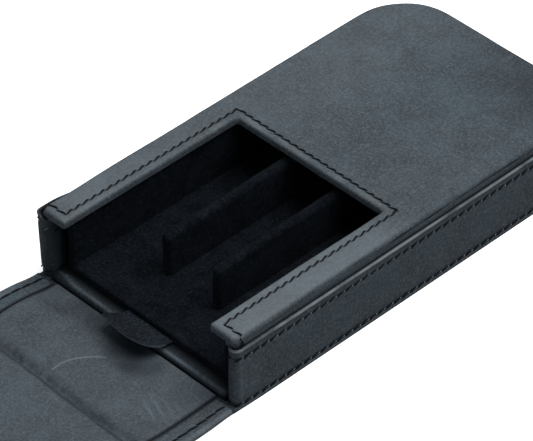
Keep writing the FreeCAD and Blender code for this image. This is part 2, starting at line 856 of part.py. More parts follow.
def flap_front_inner():
    """The inner leather panel of the flap's first panel."""
    body = new_body("flap_front_lining")
    reach = hem_inner - S.glue_line
    near, far = crease + fold_start, lip_fold - fold_start
    block(body, S.sole_thick + S.flap_board, flap_level, -reach, reach, near, far)
    mitre(body, 1)
    return body


def flap_plan(sketch, depth, near):
    """The plan of the flap's second panel, with its two round end corners, that far inside its edge."""
    reach, end, corner = flap_half - depth, flap_end + depth, S.flap_corner - depth
    outline(sketch, [(-reach, end), (reach, end), (reach, near), (-reach, near)], {0: corner, 1: corner})


def flap_top_leather():
    """The flap's second panel: leather turned in along both sides and round the end."""
    body = new_body("flap_top_cover")
    near = crease - fold_start
    sketch = new_sketch(body, "XY")
    flap_plan(sketch, Size.of(0), near)
    pad(body, sketch, flap_border)
    round_edges(body, [near])
    hollow(body, S.sole_thick, flap_border, lambda made: flap_plan(made, S.flap_hem, crease))
    mitre(body, -1)
    fold_root(body, crease, near)
    return body


def flap_top_stiffener():
    """The thin board inside the second panel, with holes for two catch plates."""
    body = new_body("flap_top_board")
    sketch = new_sketch(body, "XY", S.sole_thick)
    flap_plan(sketch, S.flap_hem + S.glue_line, crease - S.flap_board_setback)
    pad(body, sketch, S.flap_board)
    disc_holes(body, catch_y, S.sole_thick, S.sole_thick + S.flap_board)
    return body


def flap_top_inner():
    """The inner leather panel of the second panel."""
    body = new_body("flap_top_lining")
    sketch = new_sketch(body, "XY", S.sole_thick + S.flap_board)
    flap_plan(sketch, S.flap_hem + S.glue_line, crease - fold_start)
    pad(body, sketch, S.flap_lining)
    mitre(body, -1)
    return body


pieces = [
    sole(), floor(), lip(), floor_suede(),
    side_wall("wall_left", -1), side_wall("wall_right", 1), back_wall(), side_band(),
    wall_suede("lining_left", -1), wall_suede("lining_right", 1), back_suede(),
    board_over_top(), cover(), over_top(),
    disc("magnet_left", -1, magnet_y, ceiling_level, S.magnet_thick),
    disc("magnet_right", 1, magnet_y, ceiling_level, S.magnet_thick),
    tray_bottom(), tray_board(), tray_suede_floor(),
    tray_side_board("tray_wall_left", -1), tray_side_board("tray_wall_right", 1), tray_back_board(),
    tray_side_suede("tray_suede_left", -1), tray_side_suede("tray_suede_right", 1), tray_back_suede(),
    divider_board("divider_board_left", -1), divider_board("divider_board_right", 1),
    divider_suede("divider_suede_left", -1), divider_suede("divider_suede_right", 1),
    tab(),
    flap_front_leather(), flap_front_stiffener(), flap_front_inner(),
    flap_top_leather(), flap_top_stiffener(), flap_top_inner(),
    disc("catch_plate_left", -1, catch_y, S.sole_thick, S.flap_board),
    disc("catch_plate_right", 1, catch_y, S.sole_thick, S.flap_board),
]
doc.recompute()

for thing in doc.Objects:
    if "Invalid" in thing.State or "Error" in thing.State:
        raise RuntimeError(f"{thing.Name} did not build: {thing.State}")
for piece in pieces:
    shape = piece.Shape
    if shape.isNull() or not shape.isValid() or len(shape.Solids) != 1:
        raise RuntimeError(f"{piece.Label} is not one sound solid")

os.makedirs("parts", exist_ok=True)
for piece in pieces:
    piece.Shape.exportStep(f"parts/{piece.Label}.step")
print(f"{len(pieces)} pieces written")
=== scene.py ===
import json
import math

import bmesh
import bpy
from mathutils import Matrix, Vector, noise


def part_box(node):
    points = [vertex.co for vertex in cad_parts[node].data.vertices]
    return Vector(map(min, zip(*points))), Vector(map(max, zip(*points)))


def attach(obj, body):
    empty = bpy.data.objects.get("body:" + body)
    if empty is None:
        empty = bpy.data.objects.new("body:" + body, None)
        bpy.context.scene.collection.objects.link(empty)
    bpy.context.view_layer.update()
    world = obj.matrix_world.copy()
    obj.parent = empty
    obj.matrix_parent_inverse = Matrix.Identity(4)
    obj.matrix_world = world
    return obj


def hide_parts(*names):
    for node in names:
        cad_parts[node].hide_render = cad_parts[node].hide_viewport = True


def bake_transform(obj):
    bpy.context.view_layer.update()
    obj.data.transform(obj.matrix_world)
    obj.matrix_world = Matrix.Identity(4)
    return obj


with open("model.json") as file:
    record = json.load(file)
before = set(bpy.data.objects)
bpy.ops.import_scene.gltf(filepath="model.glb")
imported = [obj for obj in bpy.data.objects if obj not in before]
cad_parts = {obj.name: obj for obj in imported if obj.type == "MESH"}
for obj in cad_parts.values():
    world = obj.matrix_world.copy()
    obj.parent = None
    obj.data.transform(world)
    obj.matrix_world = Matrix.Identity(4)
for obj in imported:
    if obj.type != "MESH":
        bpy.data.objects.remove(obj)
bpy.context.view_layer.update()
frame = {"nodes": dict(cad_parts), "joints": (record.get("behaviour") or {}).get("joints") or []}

joints = {joint["name"]: joint for joint in frame["joints"]}

# ------------------------
# Outer leather: one sheet of waxed blue-grey hide lies under the case and runs on in front as
# the flap. Its edge is turned over round the flap as a stitched border. It is two pieces here,
# parted at a seam beside the crease.
MM = 0.001
FOLD = joints["flap_fold"]["pos_m"][1] / MM
CREASE = joints["flap_crease"]["pos_m"][1] / MM
SEAM = CREASE + 4.2


def box_of(node):
    """A CAD node's lowest and highest corner, in millimetres."""
    low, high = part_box(node)
    return low / MM, high / MM


def dye(red, green, blue):
    """A colour as it is mixed for the eye, 0 to 255, made linear."""
    return tuple(((c / 255 + 0.055) / 1.055) ** 2.4 if c > 10 else c / 3294.6
                 for c in (red, green, blue)) + (1.0,)


class Signal:
    """A shader socket that takes part in sums."""

    def __init__(self, finish, socket):
        self.finish = finish
        self.socket = socket

    def sum_of(self, operation, *values):
        return self.finish.node("ShaderNodeMath", {"operation": operation},
                                dict(enumerate(values)))

    def __add__(self, other):
        return self.sum_of("ADD", self, other)

    def __sub__(self, other):
        return self.sum_of("SUBTRACT", self, other)

    def __rsub__(self, other):
        return self.sum_of("SUBTRACT", other, self)

    def __mul__(self, other):
        return self.sum_of("MULTIPLY", self, other)

    __radd__ = __add__
    __rmul__ = __mul__


class Finish:
    """One material, with the shader that its nodes feed."""

    def __init__(self, name):
        self.material = bpy.data.materials.new(name)
        self.material.use_nodes = True
        self.nodes = self.material.node_tree.nodes
        self.shader = self.nodes["Principled BSDF"]

    def node(self, kind, settings=None, inputs=None, output=0):
        """A node of that kind, its settings made first, then its sockets' values or links."""
        made = self.nodes.new(kind)
        for name, value in (settings or {}).items():
            setattr(made, name, value)
        for name, value in (inputs or {}).items():
            self.feed(made.inputs[name], value)
        return Signal(self, made.outputs[output])

    def feed(self, socket, value):
        if isinstance(value, Signal):
            self.material.node_tree.links.new(value.socket, socket)
        else:
            socket.default_value = value

    def set(self, **values):
        """Values or links for the shader's own sockets, spaces written as underscores."""
        for name, value in values.items():
            self.feed(self.shader.inputs[name.replace("_", " ")], value)

    def mix(self, share, first, second):
        """Two colours mixed."""
        return self.node("ShaderNodeMix", {"data_type": "RGBA"},
                         {0: share, 6: first, 7: second}, output=2)

    def place(self, stretch=(1, 1, 1), turn=0.0):
        """Object coordinates, stretched and turned about the vertical."""
        spot = self.node("ShaderNodeTexCoord", output="Object")
        return self.node("ShaderNodeMapping", None,
                         {"Vector": spot, "Scale": stretch, "Rotation": (0, 0, turn)})

    def cloud(self, spot, size, detail=3.0, rough=0.55, warp=0.0):
        """Noise from 0 to 1 whose features are about that many millimetres across."""
        return self.node("ShaderNodeTexNoise", None, {
            "Vector": spot, "Scale": 1 / (size * MM), "Detail": detail, "Roughness": rough,
            "Distortion": warp})

    def painted(self, name):
        """A value that a piece's own mesh carries at each point."""
        return self.node("ShaderNodeAttribute", {"attribute_name": name}, output="Fac")

    def between(self, value, low, high):
        """0 below low, 1 above high, smooth between."""
        return self.node("ShaderNodeMapRange", {"interpolation_type": "SMOOTHSTEP"},
                         {"Value": value, "From Min": low, "From Max": high})

    def bump(self, height, depth, strength=1.0):
        """A surface normal that rises by that many millimetres over the height's range."""
        return self.node("ShaderNodeBump", None,
                         {"Height": height, "Distance": depth * MM, "Strength": strength})


def waxed_hide(name, *colours, grain=1.0, gloss=0.17):
    """Matt waxed leather: cloudy tone, fine nap, short fibre streaks, pale where it is rubbed and
    where a highlight is painted, dark where it is stained and where shade is painted. Its colours
    are the ground's two, the pale one and the dark one."""
    grey, blue, pale_tone, dark = [dye(*colour) for colour in colours]
    hide = Finish(name)
    spot = hide.place()
    drift = hide.cloud(spot, 42, 3.0, 0.6, 0.4)
    patch = hide.cloud(spot, 13, 4.0, 0.6, 0.3)
    nap = hide.cloud(spot, 1.1, 5.0, 0.8)
    speck = hide.cloud(spot, 0.42, 2.0, 0.7)
    streak = hide.cloud(hide.place((1, 0.12, 1), 0.5), 1.5, 4.0, 0.65)
    scuff = hide.cloud(hide.place((0.3, 1, 1), -0.3), 1.9, 3.0, 0.6)
    rub = hide.painted("rub")
    soil = hide.painted("soil")
    tone = hide.mix(hide.between(drift * 0.5 + patch * 0.5, 0.38, 0.64), grey, blue)
    # The last two rows lay on the painted values: wear and painted highlights in the pale tone,
    # stains and painted shade in the dark tone.
    for height, low, high, share, colour in (
            (1 - (nap * 0.5 + patch * 0.2 + speck * 0.3), 0.44, 0.6, 0.42, dark),
            (nap * 0.5 + speck * 0.5, 0.48, 0.66, 0.46 * grain, pale_tone),
            (streak * 0.6 + scuff * 0.4, 0.54, 0.72, 0.3 * grain, pale_tone),
            (rub * (0.5 + patch * 0.5 + nap * 0.5), 0.05, 1.0, 0.92, pale_tone),
            (soil * (0.75 + nap * 0.5), 0.05, 1.0, 0.96, dark)):
        tone = hide.mix(hide.between(height, low, high) * share, tone, colour)
    hide.set(Base_Color=tone,
             Roughness=0.66 + nap * 0.16 - rub * 0.06,
             Normal=hide.bump(nap * 0.55 + speck * 0.5 + streak * 0.3, 0.17, 0.6),
             Specular_IOR_Level=gloss)
    return hide.material


def start_plane(name, x, span, at, upright=False):
    """A rectangle in edit mode: x and y spans at a height, or x and z spans at a y if upright."""
    centre, level = sum(x) / 2, sum(span) / 2
    bpy.ops.object.select_all(action="DESELECT")
    bpy.ops.mesh.primitive_plane_add(
        size=1, rotation=(math.pi / 2 if upright else 0, 0, 0),
        location=(centre, at, level) if upright else (centre, level, at))
    piece = bpy.context.object
    piece.name = name
    piece.scale = (x[1] - x[0], span[1] - span[0], 1)
    bpy.ops.object.transform_apply()
    bpy.ops.object.mode_set(mode="EDIT")
    return piece


def pick(kind, test):
    """Select only the verts, edges or faces that pass."""
    bpy.ops.mesh.select_mode(type=kind[:-1].upper())
    bpy.ops.mesh.select_all(action="DESELECT")
    shape = bmesh.from_edit_mesh(bpy.context.object.data)
    shape.normal_update()
    chosen = [part for part in getattr(shape, kind) if test(part)]
    for part in chosen:
        part.select_set(True)
    bmesh.update_edit_mesh(bpy.context.object.data)
    return len(chosen)


def middle(part):
    """The middle of an edge or a face."""
    points = [v.co for v in part.verts]
    return sum(points, Vector()) / len(points)


def same(a, b, slack=0.01):
    """Whether two measures differ by no more than rounding."""
    return abs(a - b) < slack


def is_level(edge, slack=0.01):
    return same(edge.verts[0].co.z, edge.verts[1].co.z, slack)


def cut_across(axis, places):
    """Cut the whole mesh square to an axis at each place."""
    square = [float(axis == "xyz"[i]) for i in range(3)]
    for place in places:
        bpy.ops.mesh.select_all(action="SELECT")
        bpy.ops.mesh.bisect(plane_co=[n * place for n in square], plane_no=square)


def steps(low, high, pitch):
    """Even places between two ends, both left out."""
    count = max(1, round(abs(high - low) / pitch))
    return [low + (high - low) * i / count for i in range(1, count)]


def beside(line, inner=0.5, outer=1.1):
    """Five places for cuts, on a line of stitches and on both sides of it."""
    return [line + away for away in (-outer, -inner, 0, inner, outer)]


def pull(direction):
    """Extrude what is selected."""
    bpy.ops.mesh.extrude_region_move(TRANSFORM_OT_translate={"value": direction})


def thicken(height):
    """Pull the whole flat sheet up into a closed slab."""
    bpy.ops.mesh.select_all(action="SELECT")
    pull((0, 0, height))
    bpy.ops.mesh.select_all(action="SELECT")
    bpy.ops.mesh.normals_make_consistent(inside=False)


def round_edges(radius, segments, test):
    if pick("edges", test):
        bpy.ops.mesh.bevel(offset=radius, segments=segments, affect="EDGES", clamp_overlap=True)


def round_corners(radius, segments, test):
    if pick("verts", test):
        bpy.ops.mesh.bevel(offset=radius, segments=segments, affect="VERTICES")


def fix_order():
    """Round the points and sort them: Blender's last digits and order vary from run to run."""
    mesh = bpy.context.object.data
    shape = bmesh.from_edit_mesh(mesh)
    for vertex in shape.verts:
        vertex.co = [round(c, 3) for c in vertex.co]
    rank = {v: i for i, v in enumerate(sorted(shape.verts, key=lambda v: v.co[:]))}
    shape.verts.sort(key=rank.get)
    bmesh.update_edit_mesh(mesh)


def tidy_shell():
    """Merge doubles, turn faces outwards and leave edit mode."""
    bpy.ops.mesh.select_all(action="SELECT")
    bpy.ops.mesh.remove_doubles(threshold=0.002)
    bpy.ops.mesh.normals_make_consistent(inside=False)
    bpy.ops.object.mode_set(mode="OBJECT")


def shape_by(piece, move):
    """Move each point by what the rule gives for its place and its normal."""
    rest = [(v.co.copy(), v.normal.copy()) for v in piece.data.vertices]
    for vertex, (place, normal) in zip(piece.data.vertices, rest):
        vertex.co = place + move(place, normal)
    piece.data.update()


def paint(piece, **rules):
    """Give each point the values that the material reads, 0 to 1."""
    for name, rule in rules.items():
        layer = piece.data.attributes.new(name, "FLOAT", "POINT")
        layer.data.foreach_set("value", [min(1.0, max(0.0, rule(v.co, v.normal)))
                                         for v in piece.data.vertices])


def bell(distance, width):
    """1 at no distance, falling smoothly to 0 at about twice the width."""
    return math.exp(-(distance / width) ** 2)


def ramp(value, low, high):
    """0 at low, 1 at high, smooth between."""
    share = min(1.0, max(0.0, (value - low) / (high - low)))
    return share * share * (3 - 2 * share)


def lumps(place, size, seed=0.0):
    """Slow unevenness from -1 to 1."""
    return noise.noise(Vector((place.x / size + seed, place.y / size, place.z / size)))


def make_active(piece):
    bpy.ops.object.select_all(action="DESELECT")
    piece.select_set(True)
    bpy.context.view_layer.objects.active = piece


def split_at_seam(piece, name):
    """Part off what lies beyond the seam, and close both pieces where they were cut."""
    bpy.ops.object.mode_set(mode="EDIT")
    pick("faces", lambda f: middle(f).y < SEAM)
    bpy.ops.mesh.separate(type="SELECTED")
    bpy.ops.object.mode_set(mode="OBJECT")
    end = [o for o in bpy.context.selected_objects if o is not piece][0]
    end.name = name
    for half in (piece, end):
        make_active(half)
        bpy.ops.object.mode_set(mode="EDIT")
        pick("edges", lambda e: e.is_boundary)
        bpy.ops.mesh.fill()
        bpy.ops.object.mode_set(mode="OBJECT")
    return end


def finish_piece(piece, material, slot, *nodes, crisp=40):
    """Bring a piece from millimetres to metres, smooth it, and give it its finish."""
    make_active(piece)
    piece.scale = (MM, MM, MM)
    bpy.ops.object.transform_apply()
    bpy.ops.object.shade_smooth_by_angle(angle=math.radians(crisp))
    piece.data.materials.clear()
    piece.data.materials.append(material)
    if nodes:
        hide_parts(*nodes)
    return piece


outer_hide = waxed_hide("outer_hide", (62, 68, 72), (62, 72, 78), (110, 117, 121), (8, 13, 18))
SOLE_LOW, SOLE_HIGH = box_of("sole")
FLAP_LOW, FLAP_HIGH = box_of("flap_top_cover")
HIDE = SOLE_HIGH.z
BORDER = 8.5
BORDER_STITCH = 3.5
FLAP_CORNER = 14
STITCH_X = FLAP_HIGH.x - BORDER_STITCH
STITCH_END = FLAP_LOW.y + BORDER_STITCH
STITCH_CORNER = FLAP_CORNER - BORDER_STITCH

hide_sheet = start_plane("flap_hide", (FLAP_LOW.x, FLAP_HIGH.x), (FLAP_LOW.y, SOLE_HIGH.y), 0)
round_corners(FLAP_CORNER, 10, lambda v: v.co.y < FLAP_LOW.y + 1)
round_corners(23, 14, lambda v: v.co.y > SOLE_HIGH.y - 1)
bpy.ops.mesh.select_all(action="SELECT")
bpy.ops.mesh.inset(thickness=BORDER)
cut_across("y", [FOLD + 0.55])
pick("faces", lambda f: middle(f).y > FOLD + 0.5)
bpy.ops.mesh.dissolve_faces()
thicken(HIDE)


def in_border(p):
    """Whether a place is on the border that is turned over round the flap."""
    return p.y < FOLD + 0.5 and (abs(p.x) > FLAP_HIGH.x - BORDER or p.y < FLAP_LOW.y + BORDER)


pick("faces", lambda f: f.normal.z > 0.9 and in_border(middle(f)))
pull((0, 0, FLAP_HIGH.z - HIDE))


def on_flap_rim(p):
    """Whether a place is on the flap's outer outline."""
    if p.y > FOLD + 0.5:
        return False
    dx, dy = abs(p.x) - (FLAP_HIGH.x - FLAP_CORNER), FLAP_LOW.y + FLAP_CORNER - p.y
    if dx > 0 and dy > 0:
        return math.hypot(dx, dy) > FLAP_CORNER - 0.5
    return abs(p.x) > FLAP_HIGH.x - 0.1 or p.y < FLAP_LOW.y + 0.1


def is_turned(edge):
    """Whether an edge joins a level face to an upright one."""
    return len({round(f.normal.z) for f in edge.link_faces}) > 1


round_edges(0.9, 4, lambda e: on_flap_rim(middle(e)) and same(middle(e).z, FLAP_HIGH.z))
round_edges(0.7, 3, lambda e: on_flap_rim(middle(e)) and same(middle(e).z, 0))
round_edges(0.4, 2, lambda e: same(middle(e).z, FLAP_HIGH.z) and not on_flap_rim(middle(e))
            and is_level(e) and is_turned(e))
round_edges(0.35, 2, lambda e: middle(e).y > FOLD + 1 and same(middle(e).z, 0) and e.is_manifold
            and is_turned(e))
CREASE_CUTS = [CREASE + 3.6 - 0.4 * i for i in range(19)]
cut_across("y", steps(FOLD + 1.2, SOLE_HIGH.y - 2, 6)
           + [FOLD + 1.2 - 0.35 * i for i in range(14)]
           + steps(FOLD - 3.4, SEAM, 1.6) + [SEAM] + CREASE_CUTS
           + steps(CREASE - 3.6, FLAP_LOW.y + 1, 2.4) + beside(STITCH_END, 0.55))
cut_across("x", [side * x for side in (-1, 1) for x in beside(STITCH_X, 0.55)]
           + steps(-40, 40, 4.0) + [41.6, -41.6])
tidy_shell()


def flap_flare(p):
    """The flap's free edges wander a little: the left one swings out beyond the post."""
    if p.y > FOLD - 0.2:
        return 0.0
    reach = FOLD - p.y
    swing = 2.0 * bell(reach - 19, 14) if p.x < 0 else 0.35 * math.sin(reach / 11)
    return math.copysign(swing * ramp(abs(p.x), 20, 44) * ramp(reach, 0, 9), p.x)


def flap_lift(p):
    """The open flap isn't quite flat: the crease stays a shallow valley between two swells."""
    swell = 0.3 * bell(p.y - CREASE - 4.5, 3.2) + 0.35 * bell(p.y - CREASE + 4.5, 3.4)
    return (swell - 0.55 * bell(p.y - CREASE, 1.5)) * (1 - 0.5 * ramp(abs(p.x), 40, 46))


def to_hem(p):
    """Distance in plan to the line of stitches round the flap."""
    aside = max(0.0, abs(p.x) - (STITCH_X - STITCH_CORNER))
    beyond = max(0.0, FLAP_LOW.y + FLAP_CORNER - p.y)
    return abs(math.hypot(aside, beyond) - STITCH_CORNER) if p.y < FOLD else 9.0


def settle(p):
    """The skin stands a little proud of the boards: at the foot, at the back and on the left."""
    foot = 0.2 * (1 - ramp(p.z, 1.8, 9)) * ramp(p.y, -88, -78 if p.x > 0 else -50)
    side = foot * ramp(abs(p.x), 36, 47) * math.copysign(1, p.x)
    left = 0.5 * ramp(-p.x, 41, 47) * ramp(p.y, -80, -50)
    return Vector((side - left, (1.6 + 0.4 * foot) * ramp(p.y, 50, 88), 0))


def shape_hide(p, n):
    move = Vector((flap_flare(p), 0, 0))
    if p.y > FOLD + 1.3:
        return move + settle(p)
    if p.z > 1.0:
        move.z += flap_lift(p) * ramp(p.z, 1.0, 2.1)
        border = ramp(abs(p.x), 40, 42)
        move.z += border * (0.1 * lumps(p, 9, 3.0) + 0.12 * bell(abs(p.x) - STITCH_X - 1.9, 1.0))
        move.z -= 0.26 * bell(to_hem(p), 0.6)
    elif p.z < 0.01:
        move.z += 0.3 * bell(to_hem(p), 0.7)
    move.x += 0.22 * lumps(p, 16, 8.0) * ramp(abs(p.x), 40, 48)
    if p.y < FLAP_LOW.y + 10:
        move.y += 0.2 * lumps(p, 16, 4.0)
    return move


shape_by(hide_sheet, shape_hide)


def hide_rub(p, n):
    edge = max(ramp(abs(p.x), 46.2, 48.2), ramp(-p.y, -FLAP_LOW.y - 2.2, -FLAP_LOW.y - 0.2))
    pale_tone = edge * (0.35 + 0.4 * abs(lumps(p, 7, 1.0)))
    return pale_tone if p.y < FOLD else 0.2 * pale_tone


# Painted shade on the outer hide: darker in the groove along the stitches, along the inner edge of
# the turned border, in the crease and in the fold by the lip.
def hide_painted_shade(p, n):
    p = p - Vector((flap_flare(p), 0, 0))
    groove = 0.5 * bell(to_hem(p), 0.5)
    hem = bell(abs(p.x) - (FLAP_HIGH.x - BORDER), 0.6) * 0.95 if p.y < FOLD else 0
    return max(groove, hem, 0.5 * bell(p.y - CREASE, 1.1), 0.8 * bell(p.y - FOLD - 0.6, 0.9))


paint(hide_sheet, rub=hide_rub, soil=hide_painted_shade)
flap_end = split_at_seam(hide_sheet, "flap_end_hide")
finish_piece(hide_sheet, outer_hide, "leather", "sole", "flap_front_cover")
finish_piece(flap_end, outer_hide, "leather", "flap_top_cover")
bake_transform(hide_sheet)
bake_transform(flap_end)

# ------------------------
# Inner leather of the flap: a softer panel glued inside the turned border, from the foot of the
# lip to the far end. Years of folding have pressed a valley at the crease and ripples beside it.
inner_hide = waxed_hide("inner_hide", (66, 72, 77), (69, 77, 82), (100, 109, 114), (13, 18, 25),
                        gloss=0.15)
LINING_LOW, LINING_HIGH = box_of("flap_top_lining")
LIP_FACE = box_of("lip_strip")[0].y
PANEL_TOP = LINING_HIGH.z
inner_panel = start_plane("flap_panel", (LINING_LOW.x, LINING_HIGH.x),
                          (LINING_LOW.y, LIP_FACE - 0.25), HIDE + 0.05)
round_corners(5.4, 6, lambda v: v.co.y < LINING_LOW.y + 1)
thicken(PANEL_TOP - HIDE - 0.05)
round_edges(0.45, 3, lambda e: same(middle(e).z, PANEL_TOP))
cut_across("y", [LIP_FACE - 0.8 - 0.35 * i for i in range(13)]
           + steps(LIP_FACE - 5.4, SEAM, 0.7) + [SEAM] + CREASE_CUTS
           + steps(CREASE - 3.6, LINING_LOW.y + 1, 2.4))
cut_across("x", steps(-38.4, 38.4, 1.0) + [-38.4, 38.4] + [-9.4 + 0.45 * i for i in range(22)])
cut_across("y", [-120.8 + 0.45 * i for i in range(40)])
tidy_shell()


def panel_ripples(p):
    """Fine slanting ripples near the right end of the first panel."""
    reach = (p.x - 31) / 9, (p.y - FOLD + 17) / 10
    wave = math.sin((p.y * 0.93 + p.x * 0.36 + 1.2 * lumps(p, 12, 6.0)) * 2 * math.pi / 3.1)
    return 0.13 * wave * math.exp(-reach[0] ** 2 - reach[1] ** 2)


def worn_line(x):
    """Where the crease has worn: it strays from the board's edge towards the right."""
    return CREASE - 0.4 - 1.5 * ramp(x, -20, 34)


def wrinkles(p):
    """Short cracks across the crease, and finer ones along the fold on the left."""
    cracks = noise.noise(Vector(((p.x + 0.6 * p.y) / 1.6, (p.y - 0.5 * p.x) / 4.4, 3.0)))
    fine = noise.noise(Vector(((p.y + 0.4 * p.x) / 1.1, (p.x - 0.4 * p.y) / 5.0, 9.0)))
    fold = bell(p.y - FOLD + 7 + 2 * lumps(p, 11, 1.0), 4.6) * (1 - ramp(p.x, -18, -2))
    return (0.17 * cracks * bell(p.y - worn_line(p.x) - 1.6, 3.0)
            + 0.17 * fine * fold * (1 - ramp(abs(p.x), 34, 38)))


def shape_panel(p, n):
    if p.z < 1.6:
        return Vector((flap_flare(p), 0, 0))
    rise = flap_lift(p) + panel_ripples(p) + 0.16 * lumps(p, 17, 2.0) * ramp(FOLD - p.y, 1, 6)
    rise -= 0.55 * bell(p.y - LIP_FACE + 0.25, 0.7)
    return Vector((flap_flare(p), 0, rise + wrinkles(p)))


# Painted shade on the inner panel, with one stain: the dark patch before the tab is partly the
# tab's painted shadow and partly a stain where the tab presses. The crease line, the valley beside
# it, the foot of the lip, the panel's edges and the left of the first panel get painted shade, and
# there is painted shade in the wrinkles' hollows.
def panel_shade_and_stain(p, n):
    p = p - Vector((flap_flare(p), 0, 0))
    patch = math.hypot((p.x - 4.5) / 14.5, (p.y - FOLD + 4.6 + 0.1 * p.x) / 8.6)
    tab_shadow_and_stain = 1 - ramp(patch + 0.3 * lumps(p, 6, 9.0), 0.1, 1.75)
    strayed = p.y - worn_line(p.x)
    crease = 0.6 * bell(strayed - 0.5 * lumps(p, 6, 5.0), 1.0 + 0.5 * lumps(p, 5, 2.0))
    valley = (0.42 + 0.25 * lumps(p, 8, 8.0)) * bell(strayed - 1.8, 3.4)
    foot = 0.95 * bell(p.y - LIP_FACE + 0.1, 0.7)
    edge = ramp(abs(p.x) - LINING_HIGH.x, -0.8, -0.35) * 0.9
    shade = 0.5 + 0.4 * lumps(p, 9, 3.0)
    shade *= ramp(p.y, FOLD - 15, FOLD - 3) * (1 - ramp(p.x, -4, 20))
    return max(tab_shadow_and_stain * 0.8, crease, foot, edge, min(1, shade + valley - 1.7 * wrinkles(p)))


def to_run(p, a, b):
    """Distance in plan from a place to the straight run from a to b."""
    run = (b[0] - a[0], b[1] - a[1])
    share = ((p.x - a[0]) * run[0] + (p.y - a[1]) * run[1]) / (run[0] ** 2 + run[1] ** 2)
    share = min(1, max(0, share))
    return math.hypot(p.x - a[0] - share * run[0], p.y - a[1] - share * run[1])


SCRATCH = [(-7.8, -120.3), (-8.2, -116.4), (-7.6, -113.0), (-6.4, -110.3), (-4.6, -107.7),
           (-2.6, -105.4), (-0.2, -103.3)]


# Paler on the panel: the scratch is wear, the crests of the ripples and wrinkles get painted
# highlights, and it is paler along both swells beside the crease and a little towards the right.
def panel_wear_and_highlight(p, n):
    scratch = min(to_run(p, a, b) for a, b in zip(SCRATCH, SCRATCH[1:]))
    ripple = 4.5 * max(0.0, panel_ripples(p))
    return max(0.28 * bell(p.y - CREASE - 3.4, 1.6) * (0.5 + lumps(p, 5, 7.0)),
               0.2 + 0.12 * ramp(p.x, 4, 34) * ramp(p.y, -112, -98), ripple, 3.0 * wrinkles(p),
               0.35 * bell(p.y - CREASE + 3.2, 1.8) * (0.6 + lumps(p, 6, 2.0)),
               0.8 * bell(scratch, 0.5))


shape_by(inner_panel, shape_panel)
paint(inner_panel, rub=panel_wear_and_highlight, soil=panel_shade_and_stain)
panel_end = split_at_seam(inner_panel, "flap_end_panel")
finish_piece(inner_panel, inner_hide, "inner_leather", "flap_front_lining")
finish_piece(panel_end, inner_hide, "inner_leather", "flap_top_lining")
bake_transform(inner_panel)
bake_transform(panel_end)

# ------------------------
# Lip: a strip of the same hide rolled over the front edge of the floor, its ends tucked behind
# the posts. The roll is soft and a little flattened where the tray runs over it.
LIP_LOW, LIP_HIGH = box_of("lip_strip")
lip = start_plane("lip_roll", (LIP_LOW.x, LIP_HIGH.x), (LIP_LOW.y, LIP_HIGH.y), LIP_LOW.z)
thicken(LIP_HIGH.z - LIP_LOW.z)
round_edges(2.3, 7, lambda e: same(middle(e).z, LIP_HIGH.z)
            and same(middle(e).y, LIP_LOW.y))
round_edges(0.6, 3, lambda e: same(middle(e).z, LIP_HIGH.z)
            and same(middle(e).y, LIP_HIGH.y))
cut_across("x", steps(LIP_LOW.x, LIP_HIGH.x, 2.2))
cut_across("y", steps(LIP_LOW.y + 2.4, LIP_HIGH.y - 0.7, 1.6))
tidy_shell()
shape_by(lip, lambda p, n: Vector((0, 0.16 * lumps(p, 12, 1.0), 0.14 * lumps(p, 15, 5.0)))
         * ramp(p.z, 1.6, 3.0))


def lip_crest_highlight(p):
    """The painted highlight along the crest: near the front, but drawn in behind the left post."""
    line = LIP_LOW.y + 0.85 + 0.35 * ramp(-p.x, -8, 26) + 1.6 * ramp(-p.x, 32, 42)
    return bell(p.y - line, 0.65)


# A painted highlight along the crest; painted shade at the roll's foot, on the flat top behind the
# crest and at the ends behind the posts, over a darker tone of the lip's own.
paint(lip, rub=lambda p, n: 0.62 * lip_crest_highlight(p) * (0.7 + 0.7 * lumps(p, 9)),
      soil=lambda p, n: max(0.62 - 0.6 * lip_crest_highlight(p), 0.95 * (1 - ramp(p.z, 1.6, 2.9)),
                            0.85 * ramp(p.y, -86.6, -85.0) - lip_crest_highlight(p),
                            0.85 * ramp(abs(p.x), 41.2, 42.6)))
lip_hide = waxed_hide("lip_hide", (48, 54, 59), (50, 58, 64), (92, 101, 107), (6, 9, 12),
                      gloss=0.09)
finish_piece(lip, lip_hide, "leather", "lip_strip")
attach(lip, "case")

# ------------------------
# Side band: a strip of hide drawn round both sides and the back, sewn along its top and bottom
# edges and turned in round the two front posts. Its cut top edge is burnished pale, and a painted
# highlight lies along it and down the posts' fronts.
BAND_LOW, BAND_HIGH = box_of("side_band")
BAND = 1.1
NOSE = 2.55
NOSE_X = BAND_HIGH.x - NOSE
NOSE_Y = BAND_LOW.y + NOSE
CORNER = 22.5
RETURN = 4.5
TOP_SEAM_Z = 22.0
FOOT_SEAM_Z = 2.0
UP = Vector((0, 0, 1))


def draw_along(run, pitch, axis):
    """Draw the selected section straight on, in even steps."""
    count = max(1, round(abs(run) / pitch))
    offset = [run / count if a == axis else 0 for a in "xyz"]
    bpy.ops.mesh.extrude_repeat(steps=count, offset=offset)


def draw_turn(x, y, angle, count):
    """Draw the selected section round an upright axis."""
    bpy.ops.mesh.spin(steps=count, angle=-angle, center=(x, y, 0), axis=(0, 0, 1))


def draw_round(half, radius, front, back, pitch):
    """Draw the selected section back along the right side, round the back, and forward again."""
    run = back - radius - front
    turns = max(6, round(radius * math.pi / 2 / pitch))
    draw_along(run, pitch, "y")
    draw_turn(half - radius, back - radius, math.pi / 2, turns)
    draw_along(-2 * (half - radius), pitch, "x")
    draw_turn(radius - half, back - radius, math.pi / 2, turns)
    draw_along(-run, pitch, "y")


